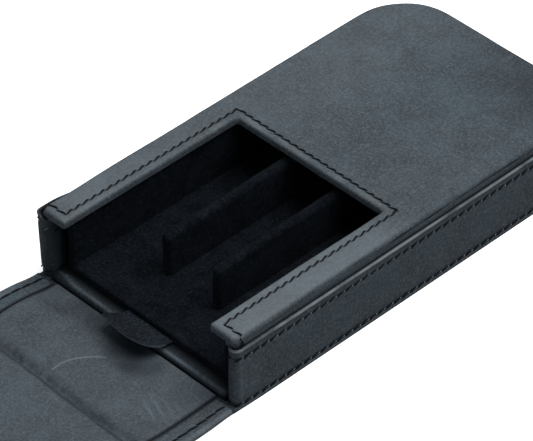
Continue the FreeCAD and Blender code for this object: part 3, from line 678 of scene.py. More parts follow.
band = start_plane("side_band_hide", (NOSE_X - NOSE, NOSE_X - NOSE + BAND),
                   (BAND_LOW.z, BAND_HIGH.z - 0.7), NOSE_Y + RETURN, upright=True)
round_corners(0.42, 3, lambda v: True)
cut_across("z", beside(FOOT_SEAM_Z, 0.5, 1.2)[1:] + [6, 9, 12, 15, 18]
           + beside(TOP_SEAM_Z, 0.5, 1.2) + [TOP_SEAM_Z + 2.4])
bpy.ops.mesh.select_all(action="SELECT")
draw_along(-RETURN, RETURN / 3, "y")
draw_turn(NOSE_X, NOSE_Y, math.pi, 12)
draw_round(BAND_HIGH.x, CORNER, NOSE_Y, BAND_HIGH.y, 2.0)
draw_turn(-NOSE_X, NOSE_Y, math.pi, 12)
draw_along(RETURN, RETURN / 3, "y")
tidy_shell()


def post_lean(p):
    """The left post has been pushed outwards, most at its top, where it also stands higher."""
    near = ramp(-p.x, 43.2, 46.0) * (1 - ramp(p.y, NOSE_Y + 4, NOSE_Y + 30))
    out = 1.1 + 0.6 * ramp(p.z, 0.5, 4) + 0.9 * ramp(p.z, 4, 27)
    return Vector((-out, 0, 1.9 * ramp(p.z, 1.1, 2.6))) * near


def shape_band(p, n):
    flat = Vector((n.x, n.y, 0))
    out = 0.16 * lumps(p, 19, 4.0) + 0.08 * lumps(p, 7, 2.0)
    out -= 0.26 * (bell(p.z - TOP_SEAM_Z, 0.55) + bell(p.z - FOOT_SEAM_Z, 0.55))
    out += 0.12 * bell(p.z - 13, 7) + 0.2 * bell(p.z - 25.3, 0.5)
    out -= 0.16 * bell(p.z - 24.2, 0.6)
    wave = 0.14 * lumps(p, 13, 7.0) * ramp(p.z, 24, 25.5)
    return flat * out * (1 if flat.length > 0.5 else 0.3) + post_lean(p) + settle(p) + UP * wave


# Paler on the band: the cut top edge, partly wear and partly a painted highlight; the foot; and a
# painted highlight down each post's nose and on the left post's front.
def band_wear_and_highlight(p, n):
    outer = ramp(n.x * math.copysign(1, p.x) if abs(p.x) > abs(p.y) * 0.6 else n.y, -0.3, 0.35)
    if p.y < NOSE_Y:
        outer = 1.0
    top = ramp(p.z, 24.9, 25.3) * (0.62 + 0.7 * lumps(p, 5, 3.0)) * outer
    if p.x < -40:
        top *= 0.45
    foot = 0.25 * (1 - ramp(p.z, 1.2, 1.9))
    nose_highlight = 0.3 * bell(p.y + 86.3, 1.6) * ramp(abs(p.x), 46, 47.6)
    lit = 0.34 * bell(p.x + 48.1, 0.9) * (1 - ramp(p.y, -86, -84))
    return max(top, foot, nose_highlight, lit)


# Painted shade on the band: in the grooves along both seams, inside the turned-in posts, on the
# ledge under the cover's roll, in the open top of the left post and on that post's inner side. It
# is also darker towards the back, and a little all over.
def band_painted_shade(p, n):
    seam = 0.6 * max(bell(p.z - TOP_SEAM_Z, 0.5), bell(p.z - FOOT_SEAM_Z, 0.5))
    inside = ramp(p.y, -85.5, -83.5) * (1 - ramp(abs(p.x), 43.2, 44.4))
    ledge_shade = 0.5 * ramp(p.z, 25.2, 25.5) * ramp(abs(p.x) - 47.6 if p.y < 60 else -1, 0.1, -0.5)
    facing_in = n.x * (p.x + NOSE_X) + n.y * (p.y - NOSE_Y) < 0
    shade_in_hole = ramp(-p.x, 43.6, 44.4) * ramp(p.z, 24, 25) * facing_in
    shaded = 0.55 * ramp(p.x, -47.0, -45.4) * (p.x < 0) * (1 - ramp(p.y, -80, -76))
    far = 0.2 * ramp(p.y, 20, 60)
    return max(0.1, seam, 0.9 * inside, shade_in_hole, shaded, far, ledge_shade if p.y > NOSE_Y else 0)


shape_by(band, shape_band)
paint(band, rub=band_wear_and_highlight, soil=band_painted_shade)
finish_piece(band, outer_hide, "leather", "side_band")
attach(band, "case")

# ------------------------
# Wall lining: black suede glued to the inside of the boards round the case. Its short nap lies in
# different directions in soft patches.
suede = Finish("black_suede")
spot = suede.place()
brushed = suede.cloud(spot, 9, 4.0, 0.65, 0.6)
tuft = suede.cloud(spot, 1.1, 4.0, 0.8)
fibre = suede.cloud(suede.place((1, 0.4, 1), 0.9), 0.45, 2.0, 0.8)
tone = suede.mix(suede.between(brushed * 0.4 + tuft * 0.6, 0.38, 0.68), dye(6, 8, 11),
                 dye(22, 27, 33))
tone = suede.mix(suede.between(fibre * 0.6 + tuft * 0.4, 0.56, 0.72) * 0.6, tone, dye(52, 60, 69))
suede.set(Base_Color=tone, Roughness=0.88 + tuft * 0.1, Specular_IOR_Level=0.04,
          Normal=suede.bump(tuft * 0.6 + fibre * 0.4, 0.45, 0.9),
          Sheen_Weight=0.03, Sheen_Roughness=0.5, Sheen_Tint=dye(120, 130, 142))
SIDE_LOW, SIDE_HIGH = box_of("lining_right")
walls = start_plane("wall_suede", (SIDE_LOW.x, SIDE_HIGH.x), (SIDE_LOW.z, SIDE_HIGH.z), SIDE_LOW.y,
                    upright=True)
cut_across("z", steps(SIDE_LOW.z, SIDE_HIGH.z, 2.8))
bpy.ops.mesh.select_all(action="SELECT")
draw_round(SIDE_HIGH.x, CORNER - 4.1, SIDE_LOW.y, box_of("lining_back")[1].y, 3.0)
tidy_shell()
shape_by(walls, lambda p, n: n * 0.12 * lumps(p, 6, 2.0))
finish_piece(walls, suede.material, "suede", "lining_left", "lining_right", "lining_back")
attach(walls, "case")

# ------------------------
# Floor and ceiling linings: two flat cuts of the same suede, on the floor board and under the
# top board, round at the back like the room between the walls.


def suede_sheet(name, node, radius):
    """A flat cut of suede where a CAD node lies, round at its back corners."""
    low, high = box_of(node)
    piece = start_plane(name, (low.x, high.x), (low.y, high.y), low.z)
    round_corners(radius, 10, lambda v: v.co.y > high.y - 1)
    thicken(high.z - low.z)
    round_edges(0.2, 2, lambda e: same(middle(e).z, high.z) or same(middle(e).z, low.z))
    cut_across("x", steps(low.x, high.x, 3.2))
    cut_across("y", steps(low.y, high.y, 3.2))
    tidy_shell()
    return finish_piece(piece, suede.material, "suede", node)


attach(suede_sheet("floor_suede", "floor_lining", 18.4), "case")
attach(suede_sheet("ceiling_suede", "ceiling_lining", 19.4), "case")

# ------------------------
# Top cover: the same hide stretched over the top board. Its outer edge is rolled down behind the
# band, and round the window and over the rims' front ends it is turned under and sewn.
COVER_LOW, COVER_HIGH = box_of("top_cover")
ROLL = 2.6
WINDOW_X = BAND_HIGH.x - 12.7
WINDOW_Y = BAND_LOW.y + 81.6
RIM_FOOT = COVER_HIGH.z - 2.7
SKIRT_TOP = 26.3
SKIRT_END = 22.1
WINDOW_STITCH = 3.4
SEW_X = WINDOW_X + WINDOW_STITCH
SEW_Y = WINDOW_Y + WINDOW_STITCH
SEW_FRONT = COVER_LOW.y + 3.5

cover = start_plane("top_hide", (COVER_LOW.x, COVER_HIGH.x), (COVER_LOW.y, COVER_HIGH.y),
                    COVER_HIGH.z)
cut_across("x", (-WINDOW_X, WINDOW_X))
cut_across("y", (WINDOW_Y,))
pick("faces", lambda f: abs(middle(f).x) < WINDOW_X and middle(f).y < WINDOW_Y)
bpy.ops.mesh.delete(type="FACE")
bpy.ops.mesh.select_all(action="SELECT")
bpy.ops.mesh.dissolve_limited(angle_limit=0.01)
round_corners(CORNER - 0.6, 14, lambda v: v.co.y > COVER_HIGH.y - 1)
thicken(SKIRT_TOP - COVER_HIGH.z)
cut_across("y", (COVER_LOW.y + 4, COVER_LOW.y + 5.5, COVER_LOW.y + 7, COVER_LOW.y + 9))
bpy.ops.object.mode_set(mode="OBJECT")


def cover_edge_radius(p, upright):
    """The roll's radius: large along the sides and back, tighter round the front ends."""
    if upright:
        if p.y > WINDOW_Y + 0.1:
            return 0
        return 2.3 if abs(p.x) > WINDOW_X + 1 else 1.1
    if abs(p.x) < WINDOW_X + 0.1 and p.y < WINDOW_Y + 0.1:
        return 1.1
    if p.y < COVER_LOW.y + 0.1:
        return 1.5
    return 1.6 + (ROLL - 1.6) * ramp(p.y, COVER_LOW.y + 2, COVER_LOW.y + 9)


weights = cover.data.attributes.new("bevel_weight_edge", "FLOAT", "EDGE")
shape = bmesh.new()
shape.from_mesh(cover.data)
shape.normal_update()
for edge in shape.edges:
    place = middle(edge)
    upright = abs(edge.verts[0].co.z - edge.verts[1].co.z) > 1
    turned = edge.calc_face_angle(0) > 1
    if turned and (upright or abs(place.z - COVER_HIGH.z) < 0.01):
        weights.data[edge.index].value = cover_edge_radius(place, upright) / ROLL
shape.free()
bevel = cover.modifiers.new("roll", "BEVEL")
bevel.limit_method = "WEIGHT"
bevel.width = ROLL
bevel.segments = 7
bevel.use_clamp_overlap = False
bpy.ops.object.modifier_apply(modifier="roll")
bpy.ops.object.mode_set(mode="EDIT")
fix_order()
pick("faces", lambda f: f.normal.z < -0.9 and same(middle(f).z, SKIRT_TOP))
bpy.ops.mesh.delete(type="FACE")
cut_across("z", (RIM_FOOT, 27.3, 26.8))
cut_across("x", (-43, 43))


def under_rim(p):
    """Whether a place is on the window's edge or a rim's front end, below the turned edge."""
    at_window = abs(p.x) < WINDOW_X + 1.3 and p.y < WINDOW_Y + 1.3
    at_front = p.y < COVER_LOW.y + 1.3 and abs(p.x) < 43
    return p.z < RIM_FOOT and (at_window or at_front)


pick("faces", lambda f: under_rim(middle(f)))
bpy.ops.mesh.delete(type="FACE")
HEM = 8
pick("edges", lambda e: e.is_boundary and same(middle(e).z, RIM_FOOT, 0.02) and is_level(e, 0.02))
bpy.ops.mesh.extrude_edges_move(TRANSFORM_OT_translate={"value": (0, 0, -0.01)})
turned_under = bmesh.from_edit_mesh(cover.data)
for vertex in turned_under.verts:
    if vertex.select:
        at = vertex.co
        if abs(at.x) < WINDOW_X + 1.3 and at.y < WINDOW_Y + 0.2:
            at.x += math.copysign(HEM if abs(at.x) > WINDOW_X - 1.3 else 0, at.x)
        if at.y > WINDOW_Y - 1.3:
            at.y += HEM
        elif at.y < COVER_LOW.y + 1.3:
            at.y += HEM - 1
bmesh.update_edit_mesh(cover.data)
pick("edges", lambda e: e.is_boundary and same(middle(e).z, SKIRT_TOP, 0.02) and is_level(e, 0.02)
     and middle(e).y > COVER_LOW.y + 3)
bpy.ops.mesh.extrude_edges_move(TRANSFORM_OT_translate={"value": (0, 0, SKIRT_END - SKIRT_TOP)})
cut_across("x", [side * x for side in (-1, 1) for x in beside(SEW_X) + [42, 44, 45.5]]
           + steps(-36.4, 36.4, 2.6) + [-36.4, 36.4])
cut_across("y", beside(SEW_Y) + [SEW_FRONT - 1] + beside(SEW_FRONT)[1:]
           + steps(SEW_FRONT + 1.1, WINDOW_Y + 1, 2.2) + steps(SEW_Y + 1.1, COVER_HIGH.y, 2.6))
fix_order()
tidy_shell()


SEWN = [(46.6, SEW_FRONT), (SEW_X, SEW_FRONT), (SEW_X, SEW_Y), (0, SEW_Y)]


def to_sewing(p):
    """Distance in plan to the line of stitches round the window."""
    p = Vector((abs(p.x), p.y, 0))
    return min(to_run(p, a, b) for a, b in zip(SEWN, SEWN[1:]))


def inside_edge(p):
    """Distance in plan to the window's edge or a rim's front edge."""
    x, y = abs(p.x), p.y
    if y < WINDOW_Y:
        return min(x - WINDOW_X, y - COVER_LOW.y)
    return math.hypot(max(0, x - WINDOW_X), y - WINDOW_Y) if x > WINDOW_X else y - WINDOW_Y


def cover_pleat(p):
    """Crumpled folds where the leather is gathered over a post at the front corner."""
    near = ramp(abs(p.x), 44.2, 46.0) * (1 - ramp(p.y, -86.6, -84.6)) * (1 - ramp(p.z, 28.9, 29.8))
    turn = math.atan2(p.y + 86.2, abs(p.x) - 45)
    wave = 0.3 * math.sin(turn * 7 + p.z * 1.7 + 2 * lumps(p, 3, 4.0))
    return wave * near * (1 if p.x < 0 else 0.35)


def edge_fold(p):
    """A sharp fold along the outer edge, where the leather turns down over its board."""
    wander = 29.0 + 0.5 * noise.noise(Vector((p.y / 9, p.x / 30, 1.0)))
    return bell(p.z - wander, 0.38) * ramp(p.y, -44, -8) * (0.95 + 0.7 * lumps(p, 7, 4.0))


def corner_drop(p):
    """The rims' front corners hang over the posts, the left one more."""
    return ramp(abs(p.x), 43.8, 47.4) * ramp(-p.y, 84.8, 88.7) * (2.0 if p.x < 0 else 1.0)


def shape_cover(p, n):
    out = 0.2 * lumps(p, 34, 3.0) + 0.07 * lumps(p, 9, 6.0) + cover_pleat(p)
    out -= 0.22 * edge_fold(p)
    top = ramp(n.z, 0.4, 0.8)
    if p.z > 28.4:
        out -= 0.34 * bell(to_sewing(p), 0.6) * top
        out += 0.16 * bell(inside_edge(p) - 1.7, 1.0) * top
    move = n * out
    move.z -= corner_drop(p) * ramp(p.z, 26.5, 31)
    if abs(p.x) > 42.8 and p.y < -84.5:
        hollow = (1 - ramp(p.z, 26.9, 28.9)) * ramp(abs(p.x), 42.8, 43.8)
        hollow *= 0.5 if p.x < 0 else 0.34
        move.x -= (p.x - math.copysign(NOSE_X, p.x)) * hollow
        move.y -= (p.y - NOSE_Y) * hollow
    tuck = 0.3 * (1 - ramp(p.z, 25.9, 27.2))
    if p.y > COVER_LOW.y + 3 and p.z < 28:
        away = Vector((n.x, n.y, 0))
        if away.length > 0.3 and (abs(p.x) > 46 or p.y > 60):
            move -= away.normalized() * tuck
    if p.z < 26.2:
        move = Vector((-0.62 * p.x / 47.4, -0.62 * ramp(p.y, 60, 88), 0))
    return move + settle(p)


shape_by(cover, shape_cover)


def cover_wear_and_highlight(p, n):
    """Paler on the strip inside the sewing and on the two rims, most towards the right front,
    partly from wear and partly as a painted highlight; also paler on the left and in a broad patch
    right of the middle. Only faces that turn upwards are painted.
    """
    strip = 1 - ramp(inside_edge(p), 2.2, 3.6)
    rims = (1 - ramp(p.y, -24, 14)) * (0.32 + 0.1 * ramp(p.x, -10, 40) + 0.06 * ramp(-p.y, 20, 80))
    left = 0.13 + 0.2 * (1 - ramp(p.x, -36, 14)) + 0.1 * bell(p.x - 24, 22) * bell(p.y - 26, 30)
    strip *= 0.5 * (0.8 + 0.5 * lumps(p, 8, 3.0))
    return max(strip, rims + 0.07, left) * ramp(n.z, 0.3, 0.95)


# Painted shade on the cover: in the groove along the sewing, on the skirt tucked behind the band,
# in streaks on the faces that turn away from the top, in the pleats and the open top of the left
# post, and under the fold along the outer edge. It is also darker towards the back.
def cover_painted_shade(p, n):
    sewing = 0.6 * bell(to_sewing(p), 0.5) * ramp(p.z, 29, 30)
    tuck = 0.72 * (1 - ramp(p.z, 26.2, 27.4))
    streaks = 0.2 + 0.55 * lumps(Vector((p.x, p.y * 0.15, p.z * 2)), 3, 5.0)
    outside = ramp(1 - n.z, 0.1, 0.5) * streaks * ramp(inside_edge(p), 2.5, 4)
    pleat = ramp(-cover_pleat(p), 0.02, 0.25) + 0.35 * abs(cover_pleat(p)) * 3
    shade_in_hole = ramp(-p.x, 44.2, 45.2) * ramp(-p.y, 85.2, 86.6) * (1 - ramp(p.z, 28.6, 29.4))
    far = 0.5 * ramp(p.y, 40, 84) * ramp(p.x - 0.4 * p.y, -66, 10)
    fold = 0.85 * edge_fold(p) * ramp(-n.z, -0.8, -0.2)
    return max(sewing, tuck, outside, far, shade_in_hole, fold, min(1, pleat))


paint(cover, rub=cover_wear_and_highlight, soil=cover_painted_shade)
bpy.context.view_layer.objects.active = cover
wall = cover.modifiers.new("leather", "SOLIDIFY")
wall.thickness = 0.85
wall.offset = -1
bpy.ops.object.modifier_apply(modifier="leather")
finish_piece(cover, outer_hide, "leather", "top_cover")
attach(cover, "case")

# ------------------------
# Tray: a tray of thin boards covered with suede. Its floor suede turns down over the front edge,
# and one strip of suede is folded over the boards of the sides and back.
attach(suede_sheet("tray_under_suede", "tray_underlay", 13.9), "tray")
TRAY_LOW, TRAY_HIGH = box_of("tray_floor")
tray_floor = start_plane("tray_floor_suede", (TRAY_LOW.x, TRAY_HIGH.x), (TRAY_LOW.y, TRAY_HIGH.y),
                         TRAY_LOW.z)
round_corners(12, 8, lambda v: v.co.y > TRAY_HIGH.y - 1)
thicken(TRAY_HIGH.z - TRAY_LOW.z)
round_edges(0.95, 5, lambda e: same(middle(e).z, TRAY_HIGH.z) and middle(e).y < TRAY_LOW.y + 0.1)
cut_across("x", steps(TRAY_LOW.x, TRAY_HIGH.x, 2.6))
cut_across("y", steps(TRAY_LOW.y + 1, TRAY_HIGH.y, 2.6))
tidy_shell()
shape_by(tray_floor, lambda p, n: Vector((0, 0, 0.14 * lumps(p, 8, 1.0) * ramp(p.z, 6.5, 7.6))))
finish_piece(tray_floor, suede.material, "suede", "tray_floor")
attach(tray_floor, "tray")

WRAP_LOW, WRAP_HIGH = box_of("tray_suede_right")
tray_walls = start_plane("tray_wall_suede", (WRAP_LOW.x, WRAP_HIGH.x), (WRAP_LOW.z, WRAP_HIGH.z),
                         WRAP_LOW.y, upright=True)
round_corners(1.3, 5, lambda v: v.co.z > WRAP_HIGH.z - 0.1)
cut_across("z", steps(WRAP_LOW.z, WRAP_HIGH.z - 1.3, 2.6))
bpy.ops.mesh.select_all(action="SELECT")
draw_round(WRAP_HIGH.x, 14, WRAP_LOW.y, box_of("tray_suede_back")[1].y, 2.8)
round_edges(0.8, 3, lambda e: same(middle(e).y, WRAP_LOW.y) and middle(e).z > 6
            and len(e.link_faces) == 2 and e.calc_face_angle(0) > 1)
tidy_shell()
shape_by(tray_walls, lambda p, n: n * (0.14 * lumps(p, 7, 5.0) + 0.06 * lumps(p, 3, 2.0)))
finish_piece(tray_walls, suede.material, "suede", "tray_suede_left", "tray_suede_right",
             "tray_suede_back")
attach(tray_walls, "tray")

# ------------------------
# Dividers: two low walls between the three lanes. Suede is folded over a board, so the top is a
# soft roll and the front end is plump, with the suede's cut edges closed at the foot.
for side in ("left", "right"):
    node = f"divider_suede_{side}"
    low, high = box_of(node)
    divider = start_plane(f"divider_wrap_{side}", (low.x, high.x), (low.y, high.y), low.z)
    thicken(high.z - low.z)
    centre = (low.x + high.x) / 2
    round_edges(1.7, 6, lambda e: same(middle(e).z, high.z) and abs(middle(e).x - centre) > 1
                or (same(middle(e).y, low.y) and middle(e).z > low.z + 0.1))
    cut_across("y", [low.y + 3 + 2.4 * i for i in range(58)])
    cut_across("z", steps(low.z, high.z - 1.8, 2.2))
    tidy_shell()
    shape_by(divider, lambda p, n: n * (0.16 * lumps(p, 9, low.x) + 0.07 * lumps(p, 3.5, 2.0))
             * ramp(p.z, low.z, low.z + 2) + Vector((0.25 * math.sin(p.y / 31 + low.x), 0, 0)))
    finish_piece(divider, suede.material, "suede", node)
    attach(divider, "tray")

# ------------------------
# Pull tab: a tongue of thin leather sewn under the front of the tray. It rises over the lip and
# curls a little at its rounded end, and its cut edge shows as a pale line.
TAB_SLOPE = math.tan(math.radians(19))
TAB_ROOT = -84.4
tab = start_plane("pull_tongue", (-12.1, 12.6), (-96, -84), 0)
round_corners(1.3, 4, lambda v: v.co.y < -95 and v.co.x < 0)
thicken(0.95)
cut_across("x", steps(-12, 8, 1.2) + [8, 9, 10, 10.8, 11.5, 12, 12.35])
cut_across("y", steps(-95, -84, 1.1))
round_edges(0.22, 2, lambda e: middle(e).y < -84.1 and e.calc_face_angle(0) > 1)
tidy_shell()


def tab_front(x):
    """The tongue's front edge: fairly sharp at its left corner, a wide curve at its right one."""
    if x > 0.5:
        return -88.2 - 7.85 * max(0.0, 1 - ((x - 0.5) / 12.1) ** 2.6) ** 0.45
    return -96.05 + 2.0 * ((0.5 - x) / 12.6) ** 1.8


def shape_tab(p, n):
    """Bends the flat tongue up from its root, wider towards its end, with a slight curl."""
    share = (TAB_ROOT + 0.4 - p.y) / 12
    y = TAB_ROOT + 0.4 - share * (TAB_ROOT + 0.4 - tab_front(min(12.6, p.x)))
    x = p.x + 2.7 * (1 - ramp(share, 0, 1.15)) * ramp(-p.x, -2, 12)
    climb = max(0.0, TAB_ROOT - y)
    rise = TAB_SLOPE * climb - 0.25 * ramp(climb, 0, 1.5)
    rise += 0.2 * lumps(p, 8, 3.0) * ramp(climb, 2, 6)
    rise += 0.35 * ramp(share, 0.7, 1.0) * ramp(-p.x, 0, 12)
    return Vector((x - p.x, y - p.y, 4.62 + rise))


shape_by(tab, shape_tab)
tab_hide = waxed_hide("tab_hide", (13, 17, 22), (20, 25, 31), (84, 94, 101), (5, 7, 10),
                      grain=0.55, gloss=0.09)
paint(tab, rub=lambda p, n: 0.85 * ramp(1 - abs(n.z), 0.25, 0.6) * ramp(-p.y, 86, 88))
finish_piece(tab, tab_hide, "leather", "pull_tab")
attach(tab, "tab")

# ------------------------
# Thread: black waxed thread in a slanting hand stitch, round the window and over the rims' front
# ends, along the band's top and foot, and round the flap on both of its faces.
thread = Finish("waxed_thread")
twist = thread.cloud(thread.place((1, 1, 1), 0.6), 0.35, 2.0, 0.6)
thread.set(Base_Color=thread.mix(twist, dye(3, 3, 4), dye(12, 13, 16)),
           Roughness=0.55 + twist * 0.2, Specular_IOR_Level=0.12,
           Normal=thread.bump(twist, 0.08, 0.8))
bpy.ops.object.select_all(action="DESELECT")
bpy.ops.mesh.primitive_uv_sphere_add(segments=8, ring_count=6, radius=1, location=(0, 0, 0))
one_stitch = bpy.context.object
one_stitch.name = "one_stitch"
worn_fibre = Finish("worn_fibre")
tuft = worn_fibre.cloud(worn_fibre.place(), 1.0, 2.0, 0.6)
worn_fibre.set(Base_Color=worn_fibre.mix(tuft, dye(52, 60, 66), dye(120, 131, 138)),
               Roughness=0.8 + tuft * 0.1, Specular_IOR_Level=0.2,
               Normal=worn_fibre.bump(tuft, 0.1, 0.6))


def sample_path(runs, pitch):
    """Even places along straight runs and arcs, each with the way the thread goes there."""
    lengths = [math.dist(run[1], run[2]) if run[0] == "run"
               else abs(run[4] - run[3]) * run[2] for run in runs]
    total = sum(lengths)
    count = max(1, round(total / pitch))
    places = []
    for i in range(count):
        at = (i + 0.5) * total / count
        for run, length in zip(runs, lengths):
            if at <= length:
                break
            at -= length
        share = at / length
        if run[0] == "run":
            a, b = Vector((*run[1], 0)), Vector((*run[2], 0))
            places.append((a.lerp(b, share), (b - a).normalized()))
        else:
            angle = run[3] + (run[4] - run[3]) * share
            way = math.copysign(1, run[4] - run[3])
            spoke = Vector((math.cos(angle), math.sin(angle), 0))
            places.append((Vector((*run[1], 0)) + spoke * run[2],
                           Vector((-spoke.y, spoke.x, 0)) * way))
    return places


def sew(name, places, length, slant, width=0.3, wave=0.0, material=None):
    """One stitch at each place: (where, way, face), copied and joined as one piece of thread."""
    made = []
    for where, way, face in places:
        side = face.cross(way).normalized()
        along = (way * math.cos(slant) + side * math.sin(slant)).normalized()
        across = face.cross(along)
        size = 1 + 0.12 * lumps(where, 2.5, 5.0)
        stitch = one_stitch.copy()
        stitch.data = one_stitch.data.copy()
        for vertex in stitch.data.vertices:
            c = vertex.co
            round_out = max(0.0, 1 - c.z * c.z) ** -0.22 if abs(c.z) < 0.99 else 1
            swing = wave * math.sin(0.85 * math.pi * c.z)
            vertex.co = (where + along * c.z * length * size / 2
                         + across * (c.y * width * round_out + swing)
                         + face * (c.x * width * 0.9 * round_out - 0.2 * c.z ** 4))
        bpy.context.scene.collection.objects.link(stitch)
        made.append(stitch)
    bpy.ops.object.select_all(action="DESELECT")
    for stitch in made:
        stitch.select_set(True)
    bpy.context.view_layer.objects.active = made[0]
    bpy.ops.object.join()
    piece = bpy.context.object
    piece.name = name
    return finish_piece(piece, material or thread.material, "leather", crisp=80)


def cover_top(p):
    """The height of the cover's outside at a place in plan."""
    radius = cover_edge_radius(Vector((47, p.y, 31)), False)
    over = max(0.0, abs(p.x) - (COVER_HIGH.x - radius))
    drop = radius - math.sqrt(max(0.0, radius ** 2 - over ** 2))
    place = Vector((p.x, p.y, COVER_HIGH.z))
    drop += corner_drop(p)
    return COVER_HIGH.z - drop + 0.2 * lumps(place, 34, 3.0) + 0.07 * lumps(place, 9, 6.0)


window_points = [(-46.9, SEW_FRONT), (-SEW_X, SEW_FRONT), (-SEW_X, SEW_Y), (SEW_X, SEW_Y),
                 (SEW_X, SEW_FRONT), (46.9, SEW_FRONT)]
places = []
for a, b in zip(window_points, window_points[1:]):
    for where, way in sample_path([("run", a, b)], 3.75):
        lean = 0.8 * ramp(abs(where.x), 44.5, 47.5)
        tilt = Vector((math.copysign(lean, where.x), 0, 1)).normalized()
        where = Vector((where.x, where.y, cover_top(where) - 0.1))
        places.append((where, (way - tilt * way.dot(tilt)).normalized(), tilt))
for side in (-1, 1):
    outward = Vector((side, 0, 0.15)).normalized()
    places.append((Vector((side * 47.3, SEW_FRONT, 28.3)), Vector((0.1 * side, 0, -1)), outward))
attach(sew("window_thread", places, 4.3, 0.1, 0.34, 0.34), "case")

half, front, back = BAND_HIGH.x, NOSE_Y, BAND_HIGH.y
band_runs = [("run", (half - 2 * NOSE, front + 3.2), (half - 2 * NOSE, front)),
             ("arc", (half - NOSE, front), NOSE, math.pi, 2 * math.pi),
             ("run", (half, front), (half, back - CORNER)),
             ("arc", (half - CORNER, back - CORNER), CORNER, 0, math.pi / 2),
             ("run", (half - CORNER, back), (CORNER - half, back)),
             ("arc", (CORNER - half, back - CORNER), CORNER, math.pi / 2, math.pi),
             ("run", (-half, back - CORNER), (-half, front)),
             ("arc", (NOSE - half, front), NOSE, math.pi, 2 * math.pi),
             ("run", (2 * NOSE - half, front), (2 * NOSE - half, front + 3.2))]
for name, height in (("band_top_thread", TOP_SEAM_Z), ("band_foot_thread", FOOT_SEAM_Z)):
    places = []
    for where, way in sample_path(band_runs, 3.95):
        face = Vector((way.y, -way.x, 0))
        where = Vector((where.x, where.y, height)) + face * 0.04
        places.append((where + post_lean(where) + settle(where), way, face))
        if height == FOOT_SEAM_Z and where.x < 0 and where.y < -80:
            places[-1][0].z += 2.6 * ramp(where.x, -45.4, -43.2)
    at_post = lambda p: p.x < -42.5 and p.y < -86.5 and height == TOP_SEAM_Z
    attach(sew(name, [s for s in places if not at_post(s[0])], 3.4, 0.42, 0.32), "case")
    pucker = [((a[0] + b[0]) / 2 - UP * 0.1 + UP * 0.3 * lumps(a[0], 3, 1.0), b[1], b[2])
              for a, b in zip(places, places[1:])]
    frayed = [(s[0] + UP * lift + s[1] * lift, s[1], s[2])
              for s in places if at_post(s[0]) for lift in (-0.4, 0.1, 0.5)]
    if frayed:
        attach(sew("post_fibres", frayed, 1.7, 0.4, 0.17, 0.2, worn_fibre.material), "case")
    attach(sew(name.replace("thread", "puckers"), pucker, 0.85, 0.5, 0.22, 0.0,
                worn_fibre.material), "case")

straight = STITCH_X - STITCH_CORNER
turned_at = STITCH_END + STITCH_CORNER
flap_runs = [("run", (-STITCH_X, FOLD - 0.4), (-STITCH_X, turned_at)),
             ("arc", (-straight, turned_at), STITCH_CORNER, math.pi, 1.5 * math.pi),
             ("run", (-straight, STITCH_END), (straight, STITCH_END)),
             ("arc", (straight, turned_at), STITCH_CORNER, 1.5 * math.pi, 2 * math.pi),
             ("run", (STITCH_X, turned_at), (STITCH_X, FOLD - 0.4))]
inner_places, outer_places = [], []
for where, way in sample_path(flap_runs, 4.3):
    top = Vector((where.x, where.y, FLAP_HIGH.z))
    top += Vector((flap_flare(top), 0, flap_lift(top) + 0.02 + 0.1 * lumps(top, 9, 3.0)))
    inner_places.append((top, way, UP))
    foot = Vector((where.x, where.y, 0))
    foot += Vector((flap_flare(foot), 0, 0.32))
    outer_places.append((foot, way, -UP))
for face, line, slant in (("inner", inner_places, -0.22), ("outer", outer_places, 0.22)):
    first, second = [
        sew(f"flap_thread_{face}_{part}",
            [s for s in line if (s[0].y > SEAM + 1.6) == (part == "near")], 4.4, slant, 0.34, 0.16)
        for part in ("near", "far")]
    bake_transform(first)
    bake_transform(second)
bpy.data.objects.remove(one_stitch)

# ------------------------
# Boards, magnets and catch plates: the parts inside that the leather hides. Grey board carries
# every wall, and two plated magnets in the top hold two steel discs in the flap.
board = Finish("grey_board")
spot = board.place()
pulp = board.cloud(spot, 2.2, 4.0, 0.7)
fleck = board.cloud(spot, 0.7, 3.0, 0.7)
board.set(Base_Color=board.mix(board.between(pulp * 0.5 + fleck * 0.5, 0.35, 0.68),
                               dye(112, 106, 97), dye(140, 133, 122)),
          Roughness=0.85 + pulp * 0.1, Specular_IOR_Level=0.2, Normal=board.bump(fleck, 0.1, 0.5))
plated = Finish("plated_magnet")
brushed = plated.cloud(plated.place((1, 12, 1)), 3.0, 3.0, 0.6)
plated.set(Base_Color=plated.mix(brushed, dye(176, 178, 182), dye(206, 208, 212)), Metallic=1.0,
           Roughness=0.22 + brushed * 0.14)
steel = Finish("catch_steel")
rolled = steel.cloud(steel.place((16, 1, 1)), 4.0, 3.0, 0.6)
steel.set(Base_Color=steel.mix(rolled, dye(132, 134, 138), dye(168, 170, 174)), Metallic=1.0,
          Roughness=0.34 + rolled * 0.18)
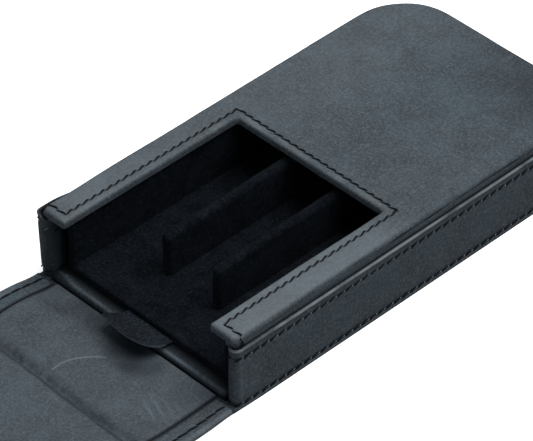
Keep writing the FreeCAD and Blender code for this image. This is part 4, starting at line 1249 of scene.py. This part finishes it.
for node, piece in frame["nodes"].items():
    if not piece.hide_render:
        finish = plated if "magnet" in node else steel if "catch_plate" in node else board
        piece.data.materials.clear()
        piece.data.materials.append(finish.material)

# ------------------------
# Camera, light and floor: the camera stands where the photograph was taken from, over the right
# front corner. The floor is plain and pale, and the light is one large soft lamp overhead.
EYE = Vector((728.18, -742.83, 886.91)) * MM
BACK = Vector((0.5431, -0.5334, 0.6485))
PICTURE_WIDTH = 533
FOCAL_LENGTH = 3910.4


def stand_at(place, way, name, data):
    """Stand a camera or a lamp at a place, looking that way."""
    stand = bpy.data.objects.new(name, data)
    bpy.context.scene.collection.objects.link(stand)
    stand.location = place
    stand.rotation_mode = "QUATERNION"
    stand.rotation_quaternion = way.to_track_quat("-Z", "Y")
    return stand


lens = bpy.data.cameras.new("camera")
bpy.context.scene.camera = stand_at(EYE, -BACK, "camera", lens)
lens.sensor_width = 36
lens.lens = FOCAL_LENGTH / PICTURE_WIDTH * 36
lens.clip_start, lens.clip_end = 0.05, 20

bpy.ops.object.select_all(action="DESELECT")
bpy.ops.mesh.primitive_plane_add(size=6, location=(0, 0, 0))
floor = bpy.context.object
floor.name = "floor"
pale = Finish("pale_floor")
seen = pale.node("ShaderNodeLightPath", output="Is Camera Ray")
pale.set(Base_Color=pale.mix(seen, dye(150, 150, 150), dye(250, 250, 250)), Roughness=0.9,
         Specular_IOR_Level=0.0, Emission_Strength=0.6,
         Emission_Color=pale.mix(seen, (0, 0, 0, 1), (1, 1, 1, 1)))
floor.data.materials.append(pale.material)

world = bpy.data.worlds.new("studio")
bpy.context.scene.world = world
world.use_nodes = True
sky = world.node_tree.nodes["Background"].inputs
sky["Color"].default_value = (0.9, 0.97, 1.06, 1)
sky["Strength"].default_value = 0.4

lamp = bpy.data.lights.new("overhead", "AREA")
lamp.shape = "DISK"
lamp.size = 1.3
lamp.energy = 26
stand_at((0.4, 0.32, 1.5), Vector((-0.4, -0.34, -1.5)), "overhead", lamp)

bpy.context.scene.view_settings.view_transform = "Standard"
